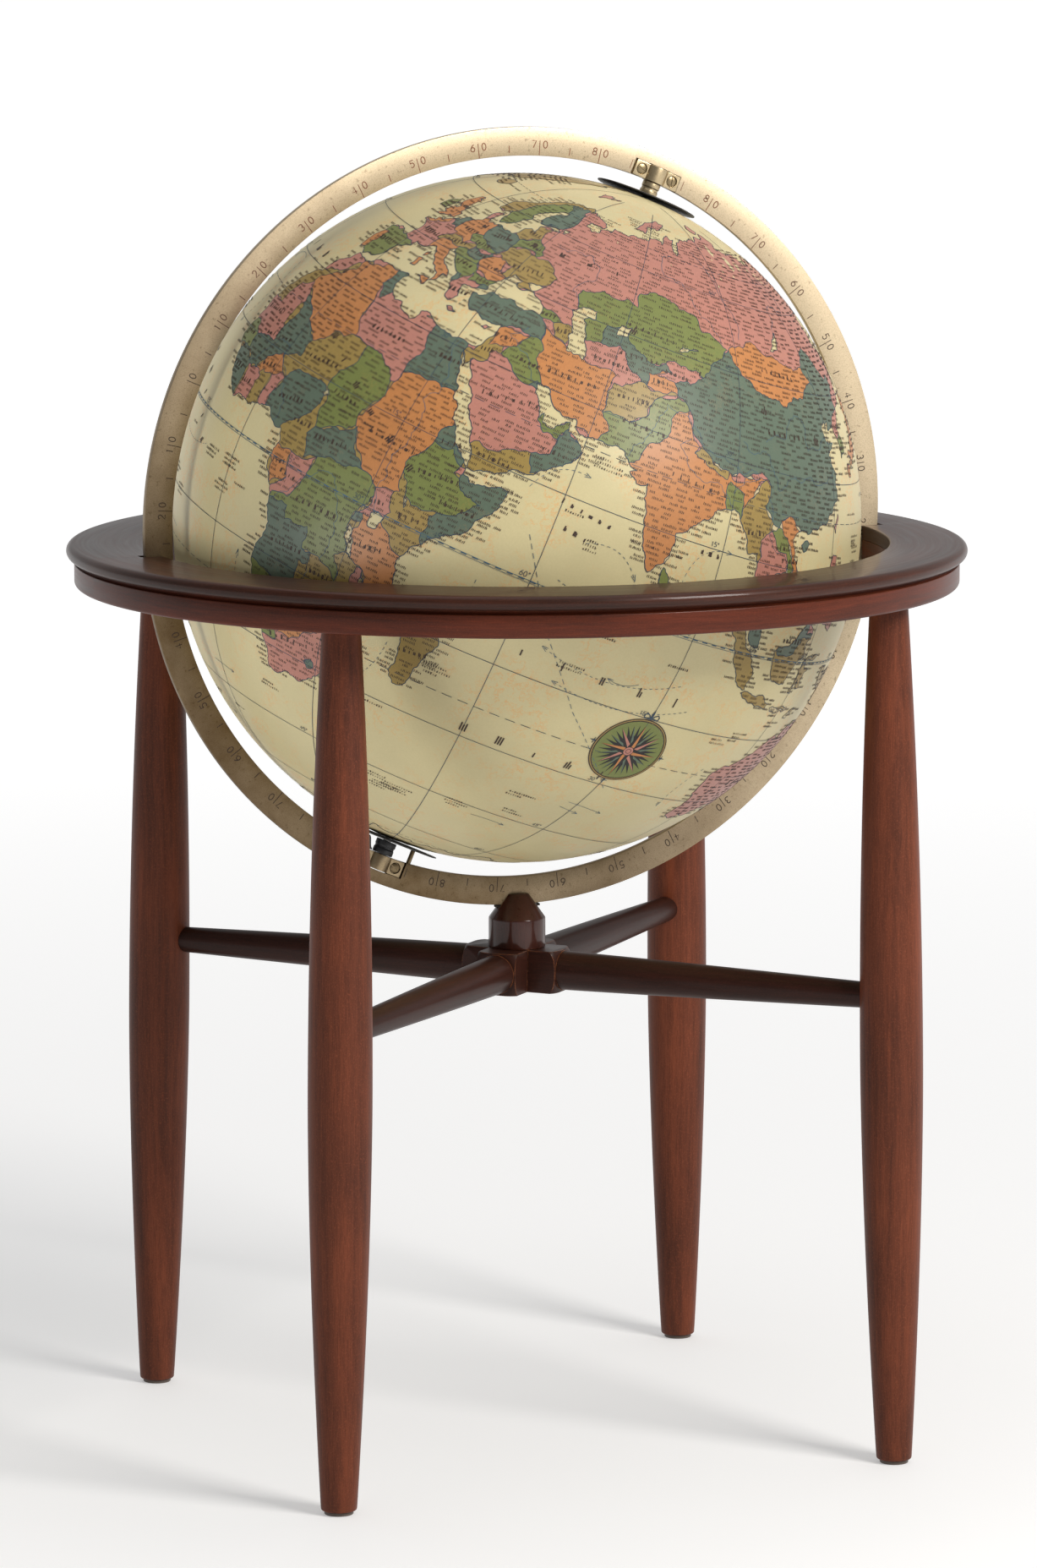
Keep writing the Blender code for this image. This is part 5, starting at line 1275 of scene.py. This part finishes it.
def river_lines():
    for points in rows(RIVERS):
        bends = [p for a, b in zip(points, points[1:]) for p in wander(a, b, 0.8, 0.2)]
        yield chart_line(bends + points[-1:], RIVER_W)


printed_lines("borders", (chart_line(chain, BORDER_W) for chain in border_chains()), THIN_INK, line_ink)
printed_lines("graticule", grid_lines(), MEDIUM_INK, line_ink)
printed_lines("equator", equator_lines(), THICK_INK, blue_ink)
printed_lines("rivers", river_lines(), THICK_INK, blue_ink)


# ---- names, numerals and ornaments on the map, all of it generic marks ------------------------------------

chart_tree = BVHTree.FromPolygons([(p.x, p.y, 0) for p in chart_points], chart_triangles)


def is_land(lon, lat):
    found = chart_tree.ray_cast(Vector((lon, lat, 1)), Vector((0, 0, -1)))[2]
    return found is not None and chart_colours[found] != "sea"


def marks(lon, lat, shapes, height, pitch, width, slant=0.0):
    """Shapes in a row from a chart point. Height and pitch are degrees on the ball, slant is up from east."""
    across = widening(lat)
    c, s = math.cos(math.radians(slant)), math.sin(math.radians(slant))
    for i, shape in enumerate(shapes):
        for line in shape:
            spots = [(i * pitch + x * height, y * height) for x, y in line]
            yield chart_line([(lon + (x * c - y * s) * across, lat + x * s + y * c) for x, y in spots], width)


def tally(rnd, most):
    """A cluster of short upright bars of uneven height, which stands for a letter or a syllable."""
    bars = rnd.randint(1, most)
    return [[(0.26 * (i - (bars - 1) / 2), -0.5), (0.26 * (i - (bars - 1) / 2), rnd.choice((0.1, 0.3, 0.5)))]
            for i in range(bars)]


NAME_ROWS, NAME_HEIGHT, NAME_PITCH = 0.86, 0.46, 0.27  # degrees
COAST_SHARE, INLAND_SHARE = 0.7, 0.36  # how many of the possible places carry a name


def small_names(lat, end):
    """Rows of tiny marks on land and out from the coasts, where the place names go."""
    rnd = random.Random(lat)
    while lat < end:
        across = widening(lat)
        step, lon, free, was = 0.4 * across, -179.5, -180.0, False
        while lon < 178:
            now = is_land(lon, lat)
            count = rnd.randint(4, 9)
            reach = count * NAME_PITCH * across
            start = None
            if was and not now and rnd.random() < COAST_SHARE:
                start = max(lon, free) + 0.05
            elif now and not was and rnd.random() < COAST_SHARE and lon - reach - step > free:
                start = lon - reach - step
            elif now and lon > free and rnd.random() < INLAND_SHARE:
                start = lon
            if start is not None and start > free:
                y = lat + rnd.uniform(-0.15, 0.15)
                shapes = [[[(0, -0.5), (rnd.uniform(-0.2, 0.2), rnd.uniform(0.2, 0.5))]]
                          for _ in range(count)]
                yield from marks(start, y, shapes, NAME_HEIGHT, NAME_PITCH, SMALL_NAME_W)
                free = start + reach + rnd.uniform(0.1, 0.5) * across
            was = now
            lon += step
        lat += NAME_ROWS


# Longitude, latitude, count, pitch, height and slant of the wide names
WIDE_NAMES = [
    (8, 22, 6, 5.6, 1.5, -28), (62, 46, 4, 12.5, 1.5, -14), (12, 53, 6, 5, 1.1, 8), (56, -11, 6, 7.2, 1.7, 0),
    (60, -28, 5, 6.3, 1.7, 0), (-28, 8, 5, 5, 1.5, -40), (60, 14, 6, 1.7, 0.8, -8), (62, 10, 3, 1.8, 0.8, -8),
    (86, 14, 3, 1.6, 0.7, 0), (150, 20, 7, 7, 1.7, 0), (-160, 10, 7, 7, 1.7, 0), (-110, 48, 5, 7, 1.5, 0),
    (-66, -10, 7, 4, 1.5, -60), (-45, 32, 8, 5, 1.5, 0), (125, -25, 9, 2.4, 1.2, 0),
    (-140, -40, 7, 7, 1.7, 0)]
FIRST_SMALL_COUNTRY = 8  # the rows of COUNTRIES before it are backgrounds without a name


def large_names():
    """Wider marks across countries, continents and oceans."""
    rnd = random.Random(5)
    for _, points in named_rows(COUNTRIES)[FIRST_SMALL_COUNTRY:]:
        lon, lat = (sum(v) / len(points) for v in zip(*points))
        wide = max(p[0] for p in points) - min(p[0] for p in points)
        if wide > 4.5 and is_land(lon, lat) and abs(lat) < 60:
            count = min(8, max(4, int(wide / 1.6)))
            pitch = min(1.6, wide * 0.55 / count) * math.cos(math.radians(lat))
            slant = rnd.uniform(-4, 12)
            shapes = [tally(rnd, 2) for _ in range(count)]
            yield from marks(lon - pitch * count / 2, lat, shapes, height=0.85, pitch=pitch,
                             width=LARGE_NAME_W, slant=slant)
    for lon, lat, count, pitch, height, slant in WIDE_NAMES:
        shapes = [tally(rnd, 3) for _ in range(count)]
        yield from marks(lon, lat, shapes, height, pitch, SEA_NAME_W, slant)
    for _ in range(190):
        lon, lat = rnd.uniform(-175, 175), math.degrees(math.asin(rnd.uniform(-0.82, 0.8)))
        beside_rose = 82 < lon < 98 and -28 < lat < -13
        if not is_land(lon, lat) and not is_land(lon + 5, lat) and not beside_rose:
            for k in range(rnd.randint(1, 3)):
                shapes = [tally(rnd, 2) for _ in range(rnd.randint(6, 12))]
                yield from marks(lon + rnd.uniform(0, 1), lat - 0.75 * k, shapes, height=0.42, pitch=0.42,
                                 width=NOTE_W)


def degree_numerals():
    def numeral(degrees):
        return [DIGITS[digit] for digit in f"{abs(degrees)}o"]

    for lon in range(-180, 180, 15):
        if lon:
            text = numeral(lon)
            yield from marks(lon - 0.62 * len(text), 0.95, text, height=0.85, pitch=0.7, width=NUMERAL_W)
    for lat in range(-60, 61, 15):
        for lon in range(-150, 180, 60):
            if lat:
                yield from marks(lon - 2.4 * widening(lat), lat + 0.75, numeral(lat), height=0.75, pitch=0.62,
                                 width=NUMERAL_W)


for band, low, high in (("southern", -56.0, 12.0), ("middle", 12.0, 40.0), ("northern", 40.0, 76.0)):
    printed_lines(f"{band}_names", small_names(low, high), THICK_INK, name_ink)
printed_lines("large_names", large_names(), NAME_INK, name_ink)
printed_lines("degree_numerals", degree_numerals(), NAME_INK, line_ink)


BARB = 1.1  # degrees that an arrow's head runs back along it


def arrow(start, end, bend, dashed=True):
    """A current arrow that bows to one side, with a head at its end."""
    (x0, y0), (x1, y1) = start, end
    path = []
    for t in spread(0, 1, max(6, int(math.dist(start, end) * 2))):
        bow = bend * 4 * t * (1 - t)
        path.append((x0 + (x1 - x0) * t - (y1 - y0) * bow, y0 + (y1 - y0) * t + (x1 - x0) * bow))
    if dashed:
        for a, b in zip(path[:-1:2], path[1::2]):
            yield chart_line([a, b], DASH_W)
    else:
        yield chart_line(path, CURRENT_W)
    (xa, ya), (xb, yb) = path[-2], path[-1]
    size = math.hypot(xb - xa, yb - ya)
    ux, uy = (xb - xa) / size, (yb - ya) / size
    for side in (0.35, -0.35):
        barb = (xb - ux * BARB - uy * side, yb - uy * BARB + ux * side)
        yield chart_line([barb, (xb, yb)], DASH_W)


# Start, end and bend of the dashed arrows in the oceans
DASHED_ARROWS = [
    ((92, -8), (66, -9), 0.1), ((96, -12), (70, -14), 0.08), ((64, 2), (84, 1), -0.06),
    ((54, 14), (63, 19), 0.2), ((66, 9), (76, 6), 0.2), ((84, 8), (92, 15), 0.25),
    ((52, -3), (46, -12), 0.15), ((42, -19), (35, -30), 0.12), ((110, -22), (108, -32), -0.12),
    ((12, -30), (8, -17), 0.12), ((-10, -5), (-28, -3), 0.1), ((-22, 28), (-25, 14), 0.15)]
SHIP_TRACK = [(57, 7), (66, -7), (76, -18), (92, -31)]


def currents():
    """Dashed arrows, small arrows scattered over the open sea, and a dashed ship's track."""
    for start, end, bend in DASHED_ARROWS:
        yield from arrow(start, end, bend)
    rnd = random.Random(21)
    for _ in range(46):
        lon, lat = rnd.uniform(-175, 165), rnd.choice((-1, -1, 1)) * rnd.uniform(8, 56)
        far = lon + rnd.uniform(5, 10)
        clear = not any(is_land(place, lat) for place in spread(lon, far, 4))
        beside_rose = 78 < lon < 100 and -29 < lat < -12
        if clear and not beside_rose:
            ends = ((lon, lat), (far, lat + rnd.uniform(-2, 2)))
            yield from arrow(*(ends if lat < -35 else ends[::-1]), rnd.uniform(-0.15, 0.15), False)
    for (x0, y0), (x1, y1) in zip(SHIP_TRACK, SHIP_TRACK[1:]):
        count = int(math.dist((x0, y0), (x1, y1)) / 1.5)
        for i in range(count):
            dash = [(x0 + (x1 - x0) * t, y0 + (y1 - y0) * t) for t in (i / count, (i + 0.6) / count)]
            yield chart_line(dash, TRACK_W)


printed_lines("currents", currents(), THICK_INK, blue_ink)

# Compass rose. Its points are (distance from its middle, bearing) in degrees on the ball.
ROSE_LON, ROSE_LAT = 90, -21.8
ROSE_R, RIM_W, HUB_R, HUB_RING_W = 6.1, 0.0008, 0.85, 0.0004
FIELD_LIFT, RIM_LIFT, RAY_LIFT, HUB_LIFT = 0.00026, 0.00027, 0.00031, 0.00046
LAYER, OVER = 0.00003, 0.00001  # from one ring of rays to the next, and from a shape to what lies on it


def rose_spot(far, bearing, lift):
    middle = (on_ball(ROSE_LON, ROSE_LAT) - CENTRE).normalized()
    north = (on_ball(ROSE_LON, ROSE_LAT + 0.1) - on_ball(ROSE_LON, ROSE_LAT - 0.1)).normalized()
    east = north.cross(middle)
    r, b = math.radians(far), math.radians(bearing)
    toward = middle * math.cos(r) + (north * math.cos(b) + east * math.sin(b)) * math.sin(r)
    return CENTRE + toward * (BALL_R + lift)


def rose_line(spots, lift):
    """Spots are (distance, bearing, width)."""
    places = [(rose_spot(far, bearing, lift), width) for far, bearing, width in spots]
    return [(place, (place - CENTRE).normalized(), width) for place, width in places]


def rose_cap(name, radius, lift, material):
    rings, count = max(1, round(radius / 1.2)), 64
    bm = bmesh.new()
    rims = []
    for height in (lift, -ROOT_DEPTH):
        layer = [[bm.verts.new(rose_spot(radius * row / rings, 360 * i / count, height))
                  for i in range(count)] for row in range(1, rings + 1)]
        rims.append(layer[-1])
        hub = bm.verts.new(rose_spot(0, 0, height))
        for i in range(count):
            j = (i + 1) % count
            bm.faces.new((hub, layer[0][i], layer[0][j]))
            for inner, outer in zip(layer, layer[1:]):
                bm.faces.new((inner[i], outer[i], outer[j], inner[j]))
    top, low = rims
    for i in range(count):
        j = (i + 1) % count
        bm.faces.new((top[i], low[i], low[j], top[j]))
    on_globe(piece_from(name, bm, material))


def rose_bands(name, radii, width, lift, material):
    bands = [rose_line([(radius, b, width) for b in spread(0, 360, 72)], lift) for radius in radii]
    printed_lines(name, bands, MEDIUM_INK, material)


def rose_rays(name, bearings, length, width, lift, material, half=False):
    """Tapering rays, or only the right-hand half of each."""
    lines = []
    for bearing in bearings:
        spots = []
        for t in spread(0, 1, 6):
            far = 0.5 + (length - 0.5) * t
            wide = width * (1 - t) * (0.5 if half else 1.0) + 0.00002
            aside = math.degrees(wide / 2 / (BALL_R * math.sin(math.radians(far)))) if half else 0.0
            spots.append((far, bearing + aside, wide))
        lines.append(rose_line(spots, lift))
    printed_lines(name, lines, MEDIUM_INK, material)


rose_cap("rose_field", ROSE_R, FIELD_LIFT, PRINTS["green"])
rose_bands("rose_rim", (6.25, 6.6), RIM_W, RIM_LIFT, name_ink)
rose_bands("rose_rim_gold", (6.42,), RIM_W, FIELD_LIFT, PRINTS["olive"])
ray_rings = (([11.25 + 22.5 * i for i in range(16)], 5.4, 0.0052, None),
             ([22.5 + 45 * i for i in range(8)], 5.3, 0.0056, "teal"),
             (range(45, 360, 90), 5.4, 0.0064, "rose"), (range(0, 360, 90), 5.5, 0.0064, "orange"))
for layer, (bearings, length, width, colour) in enumerate(ray_rings):
    lift = RAY_LIFT + LAYER * layer
    rose_rays(f"rose_rays_black_{layer}", bearings, length, width, lift, black_ink)
    if colour:
        rose_rays(f"rose_rays_{colour}_{layer}", bearings, length, width * 0.94, lift + OVER,
                  PRINTS[colour], half=True)
rose_cap("rose_hub", HUB_R, HUB_LIFT, PRINTS["rose"])
rose_bands("rose_hub_ring", (0.9, 0.45), HUB_RING_W, HUB_LIFT + OVER, black_ink)


LEAF_W, CURL_W, DART_W, BAR_W, POINT_W = 0.0016, 0.0008, 0.0014, 0.0005, 0.0002


def rose_tips():
    """A plain leaf and two curls at the north, and small darts at the other quarters."""
    leaf = [(6.7 + 2.0 * t, 0, LEAF_W * math.sin(math.pi * min(1, t * 0.9 + 0.1)) + 0.0003)
            for t in spread(0, 1, 5)]
    yield rose_line(leaf, RIM_LIFT)
    for side in (1, -1):
        curl = [(6.9, 1), (7.5, 4), (7.9, 8), (7.6, 11), (7.1, 11.5), (7.0, 9)]
        yield rose_line([(far, side * bearing, CURL_W) for far, bearing in curl], RIM_LIFT)
    yield rose_line([(7.0, b, CURL_W) for b in (-8, -4, 0, 4, 8)], RIM_LIFT + OVER)
    for bearing in (90, 180, 270):
        yield rose_line([(6.7 + t, bearing, DART_W * (1 - t) + POINT_W) for t in (0, 0.5, 1)], RIM_LIFT)
        yield rose_line([(7.0, bearing + d, BAR_W) for d in (-5, 0, 5)], RIM_LIFT + OVER)


printed_lines("rose_tips", rose_tips(), THICK_INK, line_ink)


# ---- CAD pieces that stay, with better surfaces -----------------------------------------------------------

KEPT = {"leg_bolt_": steel, "polar_axle": steel, "notch_liner_": felt, "cradle_pad": felt,
        "equator_hoop": card, "north_pole_bush": nylon, "south_pole_bush": nylon}
for name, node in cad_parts.items():
    for prefix, material in KEPT.items():
        if name.startswith(prefix):
            node.data.materials.clear()
            node.data.materials.append(material)


# ---- floor and light --------------------------------------------------------------------------------------

floor_material, tree, shader = new_material("floor_white")
far_out = vector(tree, "LENGTH", object_coordinates(tree))["Value"]
connect(tree, shader, {
    "Base Color": (0.6, 0.6, 0.6, 1), "Roughness": 0.7, "Specular IOR Level": 0.1,
    "Emission Color": (1, 1, 1, 1), "Emission Strength": ramp(tree, far_out, 0.4, 4.0, 0.35, 0.80)})
bm = bmesh.new()
bmesh.ops.create_grid(bm, x_segments=1, y_segments=1, size=12)
floor = piece_from("floor", bm, floor_material)

# Surroundings: bright towards LIT_SIDE, dim on the other side and just above the horizon, white below it
LIT_SIDE, BRIGHT, DIM = (0.5, 0.866, 0), 1.03, 0.38
world = bpy.data.worlds.new("studio")
world.use_nodes = True
tree = world.node_tree
direction = add(tree, "ShaderNodeTexCoord").outputs["Generated"]
lit = vector(tree, "DOT_PRODUCT", direction, LIT_SIDE)["Value"]
wall = ramp(tree, lit, -0.2, 0.75, DIM, BRIGHT, "SMOOTHSTEP")
height = split(tree, direction)[2]
dimmed = ramp(tree, height, 0.02, 0.12, 1.0, 0.55, "SMOOTHSTEP")
shade = maths(tree, "SUBTRACT", maths(tree, "MULTIPLY", wall, dimmed), BRIGHT)
above = ramp(tree, height, -0.03, 0.01)
brightness = maths(tree, "ADD", maths(tree, "MULTIPLY", above, shade), BRIGHT)
connect(tree, tree.nodes["Background"], {"Strength": brightness, "Color": (1.0, 1.0, 1.0, 1)})
bpy.context.scene.world = world
bpy.context.scene.view_settings.view_transform = "Standard"

LIGHT_BEARING = -20.35  # the camera's side, from which the azimuth of a light is counted


def softbox(name, azimuth, elevation, distance, size, power, colour=(1, 1, 1)):
    """Square area light that looks at the middle of the object. Azimuth is positive to the camera's right."""
    light = new_object(name, bpy.data.lights.new(name, "AREA"))
    light.data.size = size
    light.data.energy = power
    light.data.color = colour
    a, e = math.radians(LIGHT_BEARING + azimuth), math.radians(elevation)
    toward = Vector((math.sin(a) * math.cos(e), -math.cos(a) * math.cos(e), math.sin(e)))
    light.location = Vector((0, 0, 0.6)) + toward * distance
    light.rotation_euler = toward.to_track_quat("Z", "Y").to_euler()
    return light


softbox("key", azimuth=50, elevation=32, distance=3.2, size=1.1, power=100, colour=(1.0, 0.97, 0.93))
softbox("overhead", azimuth=0, elevation=88, distance=3.0, size=3.0, power=26)
ball_fill = softbox("ball_fill", azimuth=-56, elevation=-6, distance=3.0, size=1.2, power=46)
ball_fill.light_linking.receiver_collection = ball_pieces
